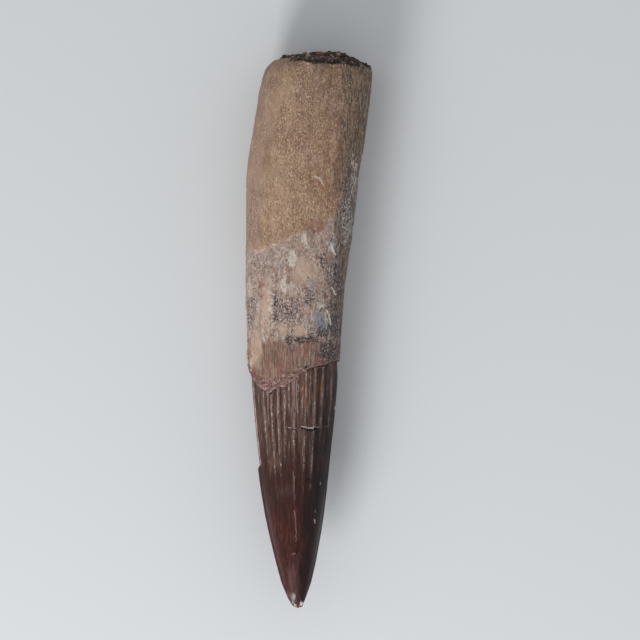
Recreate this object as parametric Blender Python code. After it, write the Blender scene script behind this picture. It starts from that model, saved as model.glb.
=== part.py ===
"""Fossil Spinosaurus tooth with its root, one solid, lying on its side on a worn flat under the root.

The tooth bows a little, so its crown rises clear of the surface that the root lies on.

Frame: +Y runs from the tip of the crown to the broken end of the root, +X is to the right with the
crown pointing at the viewer's feet, and +Z is up. The origin is the middle of the footprint, at the
height of the surface that the tooth lies on.

The solid is a stack of rings from the tip to the rim of the root, closed by a blunt tip and by the
uneven plug of sediment in the broken end.
"""

import math

import bmesh
import bpy
import numpy as np

MM = 0.001

# The tooth's outline and thickness, in millimetres. Each row is the distance from the tip, the left and
# right edges as seen from above, and the heights of the underside and of the top.
STATIONS = (
    (0.0, -3.1, -1.3, 10.8, 11.9),
    (1.9, -4.3, -0.6, 9.7, 12.7),
    (4.4, -5.0, 0.1, 8.8, 13.3),
    (9.5, -6.4, 1.3, 7.4, 14.0),
    (19.5, -8.7, 3.0, 5.3, 14.8),
    (29.6, -10.3, 4.2, 3.6, 15.1),
    (44.7, -11.9, 5.8, 1.6, 15.7),
    (57.3, -12.8, 6.7, 0.1, 16.7),
    (68.0, -13.15, 7.7, -1.6, 17.55),
    (87.6, -12.8, 10.3, -0.9, 18.9),
    (102.7, -11.1, 12.2, -1.4, 19.4),
    (112.8, -9.0, 13.2, -0.8, 19.0),
    (118.5, -4.6, 13.0, 0.3, 18.0),
)

# Where the enamel ends and the root begins: degrees round the tooth from +X, and distance from the tip.
ENAMEL_EDGE = (
    (0, 52.0),
    (45, 50.8),
    (75, 49.6),
    (95, 47.4),
    (120, 45.6),
    (140, 46.2),
    (165, 49.0),
    (225, 50.2),
    (280, 48.6),
    (330, 51.0),
)
# The root stands proud of the enamel at that edge, and the step dies away on both sides of it.
LEDGE_ON_ROOT = 0.3
LEDGE_ON_CROWN = -0.2
LEDGE_FADE = 7.0

# The rim of the broken root: degrees round the tooth, and distance from the tip. It slants, so that the
# break faces a little upwards.
ROOT_RIM = (
    (0, 113.5),
    (45, 113.4),
    (75, 114.0),
    (95, 114.1),
    (115, 114.7),
    (140, 115.2),
    (175, 114.8),
    (225, 115.9),
    (255, 116.6),
    (280, 116.9),
    (305, 115.8),
    (330, 114.4),
)
# How far the rim is worn back round the tooth: sharp on the right and rounded on the left.
RIM_ROUNDING = (
    (0, 0.25),
    (60, 0.7),
    (120, 1.0),
    (180, 1.0),
    (240, 0.8),
    (310, 0.4),
)
RIM_ROUNDING_LENGTH = 3.0

# The sediment plug in the broken end bulges and is lumpy: the lumps are waves across its face.
PLUG_BULGE = 0.4
PLUG_LUMP = 0.35
PLUG_LUMP_LENGTHS = (7.0, 4.6, 3.3)

# Every section is a rounded box between an ellipse, at 2, and a square.
CROWN_SQUARENESS = 2.05
ROOT_SQUARENESS = 2.3

# Rings and the points in each. A ridge spans RIDGE_POINTS points, from crest to crest.
POINTS_AROUND = 108
CROWN_RINGS = 25
ROOT_RINGS = 16
PLUG_RINGS = (54, 54, 27, 27)
TIP_CROWDING = 1.35
ROOT_CROWDING = 1.15
FIRST_RING = 0.012

# Lengthwise ridges of the enamel, nine on each side between the two keels.
RIDGE_POINTS = 4
RIDGES_A_SIDE = 9
RIDGE_HEIGHT = 0.32
RIDGE_START = 0.30
RIDGE_FULL = 0.62

# The cutting keels, at +X and -X. The left one is chipped away above KEEL_CHIP. Both die out over a
# share of the crown's length at its ends.
LEFT_KEEL_HEIGHT = 0.45
RIGHT_KEEL_HEIGHT = 0.225
KEEL_WIDTH = math.radians(5.0)
KEEL_FADE = 0.1
KEEL_CHIP = 29.6
KEEL_CHIP_LENGTH = 1.2

# Low, long swellings of the root.
SWELLING = 0.16
SWELLING_TURNS = (3, 5)
SWELLING_LENGTHS = (41.0, 23.0)

# Faces that meet at more than this are shaded with an edge between them.
SHARP_ANGLE = math.radians(35.0)

# The areas of the solid, in the order of their material slots: name, colour and roughness.
ENAMEL, ROOT, PLUG = range(3)
FINISHES = (
    ("fossil enamel", (0.075, 0.032, 0.020, 1.0), 0.35),
    ("fossil root", (0.262, 0.165, 0.105, 1.0), 0.85),
    ("sediment plug", (0.045, 0.032, 0.024, 1.0), 0.95),
)


def smooth_step(value):
    """0 below 0, 1 above 1, and a smooth rise between."""
    value = np.clip(value, 0.0, 1.0)
    return value * value * (3.0 - 2.0 * value)


def curve_through(points, at):
    """A smooth curve through (x, y) points that never overshoots them, read at the given x."""
    x, y = np.array(points, float).T
    step = np.diff(x)
    slope = np.diff(y) / step
    same_way = slope[1:] * slope[:-1] > 0
    total = np.where(same_way, slope[1:] + slope[:-1], 1.0)
    inner = np.where(same_way, 2.0 * slope[1:] * slope[:-1] / total, 0.0)
    tangent = np.concatenate([slope[:1], inner, slope[-1:]])
    index = np.clip(np.searchsorted(x, at, side="right") - 1, 0, len(step) - 1)
    width = step[index]
    t = np.clip((at - x[index]) / width, 0.0, 1.0)
    rise = y[index + 1] - y[index]
    bend = (tangent[index] * width - rise) * (1.0 - t) + (rise - tangent[index + 1] * width) * t
    return y[index] + rise * t + t * (1.0 - t) * bend


def curve_around(points, angle):
    """A closed smooth curve through (degrees, value) points, read at angles in radians."""
    degrees = np.degrees(angle) % 360.0
    last, first = points[-2:], points[:2]
    before = [(a - 360, value) for a, value in last]
    after = [(a + 360, value) for a, value in first]
    return curve_through([*before, *points, *after], degrees)


def rings():
    """Distance from the tip and angle of every point of the side, as two arrays of rings by points."""
    angle = np.linspace(0.0, 2.0 * math.pi, POINTS_AROUND, endpoint=False)
    edge = curve_around(ENAMEL_EDGE, angle)
    rim = curve_around(ROOT_RIM, angle)
    share = np.linspace(0.0, 1.0, CROWN_RINGS) ** TIP_CROWDING
    crown = (FIRST_RING + (1.0 - FIRST_RING) * share)[:, None] * edge
    beyond = np.linspace(0.0, 1.0, ROOT_RINGS + 1)[1:] ** ROOT_CROWDING
    root = edge + beyond[:, None] * (rim - edge)
    distance = np.concatenate([crown, root])
    return distance, np.broadcast_to(angle, distance.shape)


def ridge_relief(share, angle):
    """Height of the enamel's ridges: share is 0 at the tip and 1 at the enamel's edge."""
    spacing = RIDGE_POINTS * 2.0 * math.pi / POINTS_AROUND
    from_side = np.abs(np.abs((angle + math.pi) % (2.0 * math.pi) - math.pi) - math.pi / 2.0)
    fluted = from_side < (RIDGES_A_SIDE - 1) / 2.0 * spacing + spacing / 4.0
    crest = 0.5 + 0.5 * np.cos(2.0 * math.pi * from_side / spacing)
    growth = smooth_step((share - RIDGE_START) / (RIDGE_FULL - RIDGE_START))
    return np.where(fluted, RIDGE_HEIGHT * growth * (crest - 0.5), 0.0)


def keel_relief(distance, share, angle):
    """Height of the two keels, one of them chipped off along its upper part."""
    from_right = np.abs((angle + math.pi) % (2.0 * math.pi) - math.pi)
    from_left = math.pi - from_right
    chipped = smooth_step((KEEL_CHIP - distance) / KEEL_CHIP_LENGTH)
    fade = smooth_step(share / KEEL_FADE) * smooth_step((1.0 - share) / KEEL_FADE)
    right = RIGHT_KEEL_HEIGHT * np.exp(-((from_right / KEEL_WIDTH) ** 2))
    left = LEFT_KEEL_HEIGHT * np.exp(-((from_left / KEEL_WIDTH) ** 2)) * chipped
    return fade * (left + right)


def root_relief(distance, past_edge, angle):
    """The step at the enamel's edge, the root's swellings and the rounding of its rim."""
    ledge = np.where(past_edge > 0.0, LEDGE_ON_ROOT, LEDGE_ON_CROWN)
    step = ledge * np.exp(-np.abs(past_edge) / LEDGE_FADE)
    waves = [
        np.sin(turns * angle + distance * 2.0 * math.pi / length + turns)
        for turns, length in zip(SWELLING_TURNS, SWELLING_LENGTHS)
    ]
    swelling = SWELLING * smooth_step(past_edge / LEDGE_FADE) * sum(waves) / 2.0
    to_rim = curve_around(ROOT_RIM, angle) - distance
    rounding = curve_around(RIM_ROUNDING, angle) * (1.0 - smooth_step(to_rim / RIM_ROUNDING_LENGTH))
    return step + swelling - rounding


def section(distance, angle, squareness):
    """Points of the smooth tooth, and the directions in which its relief stands out, in millimetres."""
    along, left, right, under, top = np.array(STATIONS, float).T
    left, right, under, top = (
        curve_through(np.stack([along, column], axis=1), distance)
        for column in (left, right, under, top)
    )
    cosine, sine = np.cos(angle), np.sin(angle)
    across = np.sign(cosine) * np.abs(cosine) ** (2.0 / squareness)
    upward = np.sign(sine) * np.abs(sine) ** (2.0 / squareness)
    half_width, half_height = (right - left) / 2.0, (top - under) / 2.0
    points = np.stack(
        [(right + left) / 2.0 + half_width * across, distance, (top + under) / 2.0 + half_height * upward],
        axis=-1,
    )
    outward = np.stack([cosine / half_width, np.zeros_like(cosine), sine / half_height], axis=-1)
    return points, outward / np.linalg.norm(outward, axis=-1, keepdims=True)


def side_points():
    """Every point of the side, ring by ring from the tip, in millimetres from the tip."""
    distance, angle = rings()
    edge = curve_around(ENAMEL_EDGE, angle)
    share = distance / edge
    past_edge = distance - edge
    on_root = smooth_step(past_edge / LEDGE_FADE)
    squareness = CROWN_SQUARENESS + (ROOT_SQUARENESS - CROWN_SQUARENESS) * on_root
    points, outward = section(distance, angle, squareness)
    relief = root_relief(distance, past_edge, angle)
    crown = slice(0, CROWN_RINGS)
    relief[crown] += ridge_relief(share[crown], angle[crown])
    relief[crown] += keel_relief(distance[crown], share[crown], angle[crown])
    return points + outward * relief[..., None]


def plug_lumps(points):
    """Height of the plug's lumps at points of its face, in millimetres."""
    across, up = points[..., 0], points[..., 2]
    waves = [
        np.sin(2.0 * math.pi * across / length + number) * np.cos(2.0 * math.pi * up / length - number)
        for number, length in enumerate(PLUG_LUMP_LENGTHS)
    ]
    return PLUG_LUMP * sum(waves) / len(waves)


def plug_points(rim):
    """The rings of the sediment plug, from the rim inwards, and its middle point."""
    middle = rim.mean(axis=0)
    plug_rings = []
    for number, points_in_ring in enumerate(PLUG_RINGS, start=1):
        inward = number / (len(PLUG_RINGS) + 1.0)
        outer = rim[:: len(rim) // points_in_ring]
        ring = outer + (middle - outer) * inward
        ring[:, 1] += PLUG_BULGE * (1.0 - (1.0 - inward) ** 2) + plug_lumps(ring)
        plug_rings.append(ring)
    middle[1] += PLUG_BULGE + plug_lumps(middle)
    return plug_rings, middle


def tooth_rings():
    """All rings from the tip to the plug, the tip and the plug's middle, in the tooth's frame in metres."""
    side = side_points()
    plug, middle = plug_points(side[-1])
    tip = side[0].mean(axis=0)
    tip[1] = 0.0
    parts = [*side, *plug, tip[None], middle[None]]
    everything = np.concatenate(parts)
    low, high = everything.min(axis=0), everything.max(axis=0)
    footprint_middle = (low + high) / 2.0 * (1.0, 1.0, 0.0)
    placed = [np.maximum(points - footprint_middle, (-np.inf, -np.inf, 0.0)) * MM for points in parts]
    return placed[:-2], placed[-2][0], placed[-1][0]


def close_with_fan(mesh, ring, point):
    """Joins a ring to one point with triangles, and returns them."""
    following = ring[1:] + ring[:1]
    return [mesh.faces.new((a, b, point)) for a, b in zip(ring, following)]


def join_rings(mesh, outer, inner):
    """Joins two rings of as many points with quads, or a ring to one of half as many with triangles."""
    inner_next = inner[1:] + inner[:1]
    if len(inner) == len(outer):
        outer_next = outer[1:] + outer[:1]
        return [mesh.faces.new(corners) for corners in zip(outer, outer_next, inner_next, inner)]
    even, odd = outer[::2], outer[1::2]
    even_next = even[1:] + even[:1]
    made = []
    for first, middle, last, near, far in zip(even, odd, even_next, inner, inner_next):
        made.append(mesh.faces.new((first, middle, near)))
        made.append(mesh.faces.new((middle, far, near)))
        made.append(mesh.faces.new((middle, last, far)))
    return made


def material(name, colour, roughness):
    """A plain Principled material."""
    made = bpy.data.materials.new(name)
    made.use_nodes = True
    shader = made.node_tree.nodes["Principled BSDF"]
    shader.inputs["Base Color"].default_value = colour
    shader.inputs["Roughness"].default_value = roughness
    shader.inputs["Metallic"].default_value = 0.0
    return made


def build_tooth():
    """The tooth as one closed mesh object: enamel, root and plug are areas of the same solid."""
    ring_points, tip_point, middle_point = tooth_rings()
    mesh = bmesh.new()
    ring_verts = [[mesh.verts.new(point) for point in ring] for ring in ring_points]
    tip = mesh.verts.new(tip_point)
    middle = mesh.verts.new(middle_point)

    for face in close_with_fan(mesh, ring_verts[0], tip):
        face.material_index = ENAMEL
    for number, (lower, upper) in enumerate(zip(ring_verts, ring_verts[1:])):
        area = ENAMEL if number < CROWN_RINGS - 1 else ROOT
        if number >= CROWN_RINGS + ROOT_RINGS - 1:
            area = PLUG
        for face in join_rings(mesh, lower, upper):
            face.material_index = area
    for face in close_with_fan(mesh, ring_verts[-1], middle):
        face.material_index = PLUG
    bmesh.ops.recalc_face_normals(mesh, faces=mesh.faces)

    data = bpy.data.meshes.new("tooth")
    mesh.to_mesh(data)
    mesh.free()
    for finish in FINISHES:
        data.materials.append(material(*finish))
    data.shade_smooth()
    data.set_sharp_from_angle(angle=SHARP_ANGLE)
    tooth = bpy.data.objects.new("tooth", data)
    bpy.context.scene.collection.objects.link(tooth)
    return tooth


def main():
    for old in list(bpy.data.objects):
        bpy.data.objects.remove(old, do_unlink=True)
    build_tooth()


main()
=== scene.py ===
"""Fossil Spinosaurus tooth on a pale floor: a fluted enamel crown on a long sandy root, lying on its side.

The tooth is one mesh, worked out as rings from the tip of the crown to the broken end of the root, with
its relief laid on the same smooth form as its solid. Sand grains are a second mesh, sunk in the sediment
of the broken end and in the crust of the root.

Lengths are in millimetres until a mesh is written, and `along` is always the distance from the tip.
Angles go round the tooth: 0 at +X, 90 on top, 180 at -X and 270 underneath. A Span is where something
begins and the length over which it comes in fully. Lumps are the size of a pattern: the same every way,
or the size across and up, and the size along the tooth.
"""

import itertools
import logging
import math
from dataclasses import dataclass
from enum import Enum

import bmesh
import bpy
import numpy as np
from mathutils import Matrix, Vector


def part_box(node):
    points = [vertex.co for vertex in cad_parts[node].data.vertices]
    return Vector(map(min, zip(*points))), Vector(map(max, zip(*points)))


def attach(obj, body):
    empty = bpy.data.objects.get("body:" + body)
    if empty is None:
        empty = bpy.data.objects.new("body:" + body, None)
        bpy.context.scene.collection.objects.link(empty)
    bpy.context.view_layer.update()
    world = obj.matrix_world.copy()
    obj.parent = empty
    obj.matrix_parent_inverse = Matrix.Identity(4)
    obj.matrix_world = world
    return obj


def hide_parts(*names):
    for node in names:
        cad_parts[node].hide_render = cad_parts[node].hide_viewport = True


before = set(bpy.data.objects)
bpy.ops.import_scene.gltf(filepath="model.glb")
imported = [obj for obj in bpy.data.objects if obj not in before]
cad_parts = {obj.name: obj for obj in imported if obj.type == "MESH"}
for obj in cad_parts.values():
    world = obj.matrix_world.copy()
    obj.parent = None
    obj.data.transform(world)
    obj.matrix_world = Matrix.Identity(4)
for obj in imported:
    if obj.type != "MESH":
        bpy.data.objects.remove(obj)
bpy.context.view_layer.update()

log = logging.getLogger("tooth")

MM = 0.001
SEED = 1915
NODE = "tooth"
BODY = "root"

Array = np.ndarray
Pair = tuple[float, float]
Curve = tuple[Pair, ...]
Size = tuple[float, float, float]
Span = Pair
Lumps = float | Pair

# The middle of the tooth's footprint, in the lengths that the tooth is worked out in.
FOOTPRINT_ACROSS = -0.08
FOOTPRINT_ALONG = (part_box(NODE)[1].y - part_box(NODE)[0].y) / 2.0 / MM


def to_frame(places: Array) -> Array:
    """Places in millimetres from the tip as places in metres from the footprint's middle."""
    return (places - np.array([FOOTPRINT_ACROSS, FOOTPRINT_ALONG, 0.0])) * MM


# ---- Curves and noise ----

# Numbers that scatter the bits of a cell's place, and the bits that are kept.
CELL_PRIMES = (73856093, 19349663, 83492791)
SEED_FACTOR = 2654435761
BIT_MIXERS = ((15, 2246822519), (13, 3266489917))
LAST_SHIFT = 16
BITS_32, BITS_24 = 0xFFFFFFFF, 0xFFFFFF

# What lifts layered noise to about -1 to 1, and in how many steps a crowded row is worked out.
LAYER_GAIN = 1.4
CROWD_STEPS = 4001


def smooth_step(value: Array) -> Array:
    """0 below 0, 1 above 1, and 3t^2 - 2t^3 between."""
    value = np.clip(value, 0.0, 1.0)
    return value * value * (3.0 - 2.0 * value)


def rise(value: Array, start: float, length: float) -> Array:
    """0 up to the start, 1 from a length beyond it on, and a smooth step between."""
    return smooth_step((value - start) / length)


def fall(value: Array, end: float, length: float) -> Array:
    """1 up to a length before the end, 0 from the end on, and a smooth step between."""
    return smooth_step((end - value) / length)


def bell(distance: Array, width: float) -> Array:
    """A bump that is 1 at 0 and falls off as e^-(distance / width)^2."""
    return np.exp(-((distance / width) ** 2))


def curve_through(points: Curve, at: Array) -> Array:
    """A smooth curve through points that never overshoots them.

    Between two points it is a cubic whose slopes at the ends are the harmonic mean of the slopes of the
    chords on both sides, or level where those go different ways.

    Args:
        points: (x, y) pairs in order of x.
        at: where to read the curve.

    Returns:
        The curve's y at each x.
    """
    x, y = np.array(points, float).T
    step = np.diff(x)
    slope = np.diff(y) / step
    same_way = slope[1:] * slope[:-1] > 0
    total = np.where(same_way, slope[1:] + slope[:-1], 1.0)
    inner = np.where(same_way, 2.0 * slope[1:] * slope[:-1] / total, 0.0)
    tangent = np.concatenate([slope[:1], inner, slope[-1:]])
    index = np.clip(np.searchsorted(x, at, side="right") - 1, 0, len(step) - 1)
    width = step[index]
    t = np.clip((at - x[index]) / width, 0.0, 1.0)
    climb = y[index + 1] - y[index]
    bend = (tangent[index] * width - climb) * (1.0 - t) + (climb - tangent[index + 1] * width) * t
    return y[index] + climb * t + t * (1.0 - t) * bend


def curve_around(points: Curve, angle: Array) -> Array:
    """A closed smooth curve through (degrees, value) pairs, read at angles in radians."""
    before = [(turn - 360.0, value) for turn, value in points[-2:]]
    after = [(turn + 360.0, value) for turn, value in points[:2]]
    return curve_through((*before, *points, *after), np.degrees(angle) % 360.0)


def cell_random(cell: Array, seed: int) -> Array:
    """A number from 0 to 1 for each whole-numbered cell, by mixing the bits of its place and the seed."""
    primes = np.array(CELL_PRIMES, np.uint64)
    mixed = (cell.astype(np.int64).astype(np.uint64) * primes).sum(axis=-1, dtype=np.uint64)
    mixed = (mixed + np.uint64(seed * SEED_FACTOR)) & np.uint64(BITS_32)
    for shift, factor in BIT_MIXERS:
        mixed = ((mixed ^ (mixed >> np.uint64(shift))) * np.uint64(factor)) & np.uint64(BITS_32)
    return ((mixed ^ (mixed >> np.uint64(LAST_SHIFT))) & np.uint64(BITS_24)).astype(float) / BITS_24


def both_ways(size: Lumps) -> Pair:
    """The size of lumps across and up, and along."""
    return size if isinstance(size, tuple) else (size, size)


def smooth_noise(points: Array, size: Lumps, seed: int) -> Array:
    """Random values at the corners of boxes, blended by 6t^5 - 15t^4 + 10t^3.

    Args:
        points: places in space, in millimetres.
        size: of the boxes, in millimetres.
        seed: which noise it is.

    Returns:
        A value from -1 to 1 for each point.
    """
    across, along = both_ways(size)
    scaled = points / np.array([across, along, across])
    corner = np.floor(scaled).astype(np.int64)
    t = scaled - corner
    t = t * t * t * (t * (t * 6.0 - 15.0) + 10.0)
    total = np.zeros(points.shape[:-1])
    for offset in itertools.product((0, 1), repeat=3):
        weight = np.prod(np.where(np.array(offset, bool), t, 1.0 - t), axis=-1)
        total += weight * cell_random(corner + np.array(offset), seed)
    return 2.0 * total - 1.0


@dataclass(frozen=True)
class Noise:
    """Fractal noise: layers of smooth noise, each half the last in size and weight.

    It is level + height x a number from about -1 to 1.

    Fields:
        size: of the largest lumps.
        layers: how many there are.
        seed: which noise it is.
        height: how far it strays from its level.
        level: its mean.
    """

    size: Lumps
    layers: int
    seed: int
    height: float = 1.0
    level: float = 0.0

    def at(self, points: Array, *weights: Array) -> Array:
        """The noise at points in millimetres, its height times every weight."""
        made = [
            smooth_noise(points * 2.0**layer, self.size, SEED + self.seed + layer) / 2.0**layer
            for layer in range(self.layers)
        ]
        noise = sum(made) / sum(0.5**layer for layer in range(self.layers)) * LAYER_GAIN
        return self.level + math.prod(weights, start=self.height) * noise


def crowded(count: int, places: tuple[Size, ...]) -> Array:
    """Numbers from 0 to 1, closer together near some places.

    The spacing is one over 1 plus a bell at each place.

    Args:
        count: how many numbers.
        places: (where, width, how much denser) of each bell.

    Returns:
        The numbers, in order.
    """
    fine = np.linspace(0.0, 1.0, CROWD_STEPS)
    density = 1.0 + sum(extra * bell(fine - place, width) for place, width, extra in places)
    passed = np.concatenate([[0.0], np.cumsum((density[1:] + density[:-1]) / 2.0)])
    return np.interp(np.linspace(0.0, 1.0, count), passed / passed[-1], fine)


# ---- The tooth's smooth form ----


class Area(Enum):
    """The three areas of the tooth, in the order of its material slots."""

    ENAMEL = 0
    ROOT = 1
    PLUG = 2


class Mask(Enum):
    """What growth, wear and the ground did to the surface, and painted light and shade: vertex attributes
    from 0 to 1.
    """

    GRIT = "loose_grit"
    CRUST = "sand_crust"
    GOLD = "golden_sand"
    FLANK = "dark_flank_of_the_root"
    NECK = "brown_neck"
    SPECK = "manganese_specks"
    INK = "manganese_stain"
    SLATE = "slate_blue_stain"
    IRON = "iron_stain"
    CREAM = "cream_dentine"
    # Chalky dentine, and painted highlights: on the crown's crack lips and on the root's right side.
    CHALK_AND_HIGHLIGHTS = "chalky_dentine_and_painted_highlights"
    RUST = "rust_band"
    GRIME = "sediment_on_the_rim"
    BASE = "paler_base_of_the_enamel"
    # Worn pale crests, and painted glints of highlight along them.
    CREST_AND_GLINT = "worn_crests_and_painted_glints"
    HOLLOW = "dark_hollows"
    # Rose-grey bloom on the root; on the crown near the point, a painted sheen.
    ROSE_AND_SHEEN = "rose_grey_bloom_and_painted_sheen"
    # Partly darker enamel, partly painted shade on the crown's right flank, away from the light.
    DUSK_AND_SHADE = "dark_enamel_flank_and_painted_shade"
    # Cracks and pits, and the painted shadow under the rust band's step.
    CRACK_AND_SHADOW = "crack"
    CHIP = "fresh_chips"
    POLISH = "polished_enamel"


@dataclass
class Skin:
    """Every vertex of the tooth's side, as arrays of one length.

    Fields:
        along: distance from the tip.
        angle: angle round the tooth, in radians.
        points: places on the smooth form.
        outward: directions in which relief stands out.
        girth: millimetres round the tooth for each radian.
        past_edge: distance beyond the enamel's edge, negative on the crown.
        to_rim: distance to the broken rim.
        UPPER_FADE: over how much of the angle's sine the upper side gives way to the lower.
    """

    UPPER_FADE = 0.25

    along: Array
    angle: Array
    points: Array
    outward: Array
    girth: Array
    past_edge: Array
    to_rim: Array

    @property
    def across(self) -> Array:
        """Place across the tooth, from -X to +X."""
        return self.points[..., 0]

    @property
    def upper(self) -> Array:
        """1 on the side that faces up, 0 underneath."""
        return smooth_step(np.sin(self.angle) / self.UPPER_FADE + 0.5)

    @property
    def on_root(self) -> Array:
        """1 beyond the enamel's edge."""
        return (self.past_edge > 0.0).astype(float)

    def apart(self, degrees: Array | float) -> Array:
        """Distance round the tooth from an angle, in millimetres, positive towards larger angles."""
        turn = self.angle - np.radians(degrees)
        return ((turn + math.pi) % (2.0 * math.pi) - math.pi) * self.girth

    def noise(self, noise: Noise, *weights: Array) -> Array:
        """A noise at the skin's points, its height times every weight."""
        return noise.at(self.points, *weights)


@dataclass(frozen=True)
class ToothForm:
    """The smooth form of crown and root, the same as the solid's.

    Fields:
        stations: distance from the tip, left and right edge, and height of underside and top.
        enamel_edge: where the enamel ends, as (degrees, distance from the tip).
        root_rim: the rim of the broken root, likewise.
        ledge_on_root, ledge_on_crown, ledge_fade: the step at that edge on both its sides.
        rim_rounding, rim_rounding_length: how the rim is worn back, as (degrees, depth).
        tip_rounding, tip_rounding_length, tip_rounding_power: how the top of the point is worn down.
        swelling, swelling_turns, swelling_lengths: the root's low swellings.
        crown_squareness, root_squareness: every section lies between an ellipse, at 2, and a square.
    """

    stations: tuple[tuple[float, ...], ...] = (
        *((0.0, -3.1, -1.3, 10.8, 11.9), (1.9, -4.3, -0.6, 9.7, 12.7)),
        *((4.4, -5.0, 0.1, 8.8, 13.3), (9.5, -6.4, 1.3, 7.4, 14.0)),
        *((19.5, -8.7, 3.0, 5.3, 14.8), (29.6, -10.3, 4.2, 3.6, 15.1)),
        *((44.7, -11.9, 5.8, 1.6, 15.7), (57.3, -12.8, 6.7, 0.1, 16.7)),
        *((68.0, -13.15, 7.7, -1.6, 17.55), (87.6, -12.8, 10.3, -0.9, 18.9)),
        *((102.7, -11.1, 12.2, -1.4, 19.4), (112.8, -9.0, 13.2, -0.8, 19.0)),
        (118.5, -4.6, 13.0, 0.3, 18.0),
    )
    enamel_edge: Curve = (
        *((0, 52.0), (45, 50.8), (75, 49.6), (95, 47.4), (120, 45.6)),
        *((140, 46.2), (165, 49.0), (225, 50.2), (280, 48.6), (330, 51.0)),
    )
    root_rim: Curve = (
        *((0, 113.5), (45, 113.4), (75, 114.0), (95, 114.1), (115, 114.7), (140, 115.2)),
        *((175, 114.8), (225, 115.9), (255, 116.6), (280, 116.9), (305, 115.8), (330, 114.4)),
    )
    ledge_on_root: float = 0.3
    ledge_on_crown: float = -0.2
    ledge_fade: float = 7.0
    rim_rounding: Curve = ((0, 0.2), (60, 0.2), (105, 0.35), (140, 0.85), (180, 0.9), (240, 0.8), (310, 0.4))
    rim_rounding_length: float = 3.0
    tip_rounding: float = 0.82
    tip_rounding_length: float = 3.2
    tip_rounding_power: float = 1.3
    swelling: float = 0.16
    swelling_turns: tuple[int, int] = (3, 5)
    swelling_lengths: Pair = (41.0, 23.0)
    crown_squareness: float = 2.05
    root_squareness: float = 2.3

    def skin(self, along: Array, angle: Array) -> Skin:
        """The smooth form at given distances from the tip and angles.

        Each section is a superellipse between its four edges: the cosine and sine of the angle, each to
        the power 2 / squareness with its sign kept, times half the width and half the height.
        """
        edge, rim = curve_around(self.enamel_edge, angle), curve_around(self.root_rim, angle)
        table = np.array(self.stations)
        left, right, under, top = (
            curve_through(tuple(zip(table[:, 0], column)), along) for column in table[:, 1:].T
        )
        on_root = smooth_step((along - edge) / self.ledge_fade)
        power = 2.0 / (self.crown_squareness + (self.root_squareness - self.crown_squareness) * on_root)
        cosine, sine = np.cos(angle), np.sin(angle)
        half_width, half_height = (right - left) / 2.0, (top - under) / 2.0
        across = (right + left) / 2.0 + half_width * np.sign(cosine) * np.abs(cosine) ** power
        up = (top + under) / 2.0 + half_height * np.sign(sine) * np.abs(sine) ** power
        points = np.stack([across, along, up], axis=-1)
        outward = np.stack([cosine / half_width, np.zeros_like(cosine), sine / half_height], axis=-1)
        outward /= np.linalg.norm(outward, axis=-1, keepdims=True)
        girth = np.hypot(half_width * sine, half_height * cosine)
        return Skin(along, angle, points, outward, girth, along - edge, rim - along)

    def relief(self, skin: Skin) -> Array:
        """The step at the enamel's edge, the root's swellings, and the rounding of its rim and tip."""
        ledge = np.where(skin.past_edge > 0.0, self.ledge_on_root, self.ledge_on_crown)
        step = ledge * np.exp(-np.abs(skin.past_edge) / self.ledge_fade)
        waves = [
            np.sin(turns * skin.angle + skin.along * 2.0 * math.pi / length + turns)
            for turns, length in zip(self.swelling_turns, self.swelling_lengths)
        ]
        swelling = self.swelling * smooth_step(skin.past_edge / self.ledge_fade) * sum(waves) / 2.0
        worn = np.clip(1.0 - skin.to_rim / self.rim_rounding_length, 0.0, 1.0) ** 2
        rounding = curve_around(self.rim_rounding, skin.angle) * worn
        near_tip = np.clip(1.0 - skin.along / self.tip_rounding_length, 0.0, 1.0)
        blunt = self.tip_rounding * near_tip**self.tip_rounding_power * np.maximum(np.sin(skin.angle), 0.0)
        return step + swelling - rounding - blunt


# ---- Crown: flutes, keels, cracks and chips ----


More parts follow.
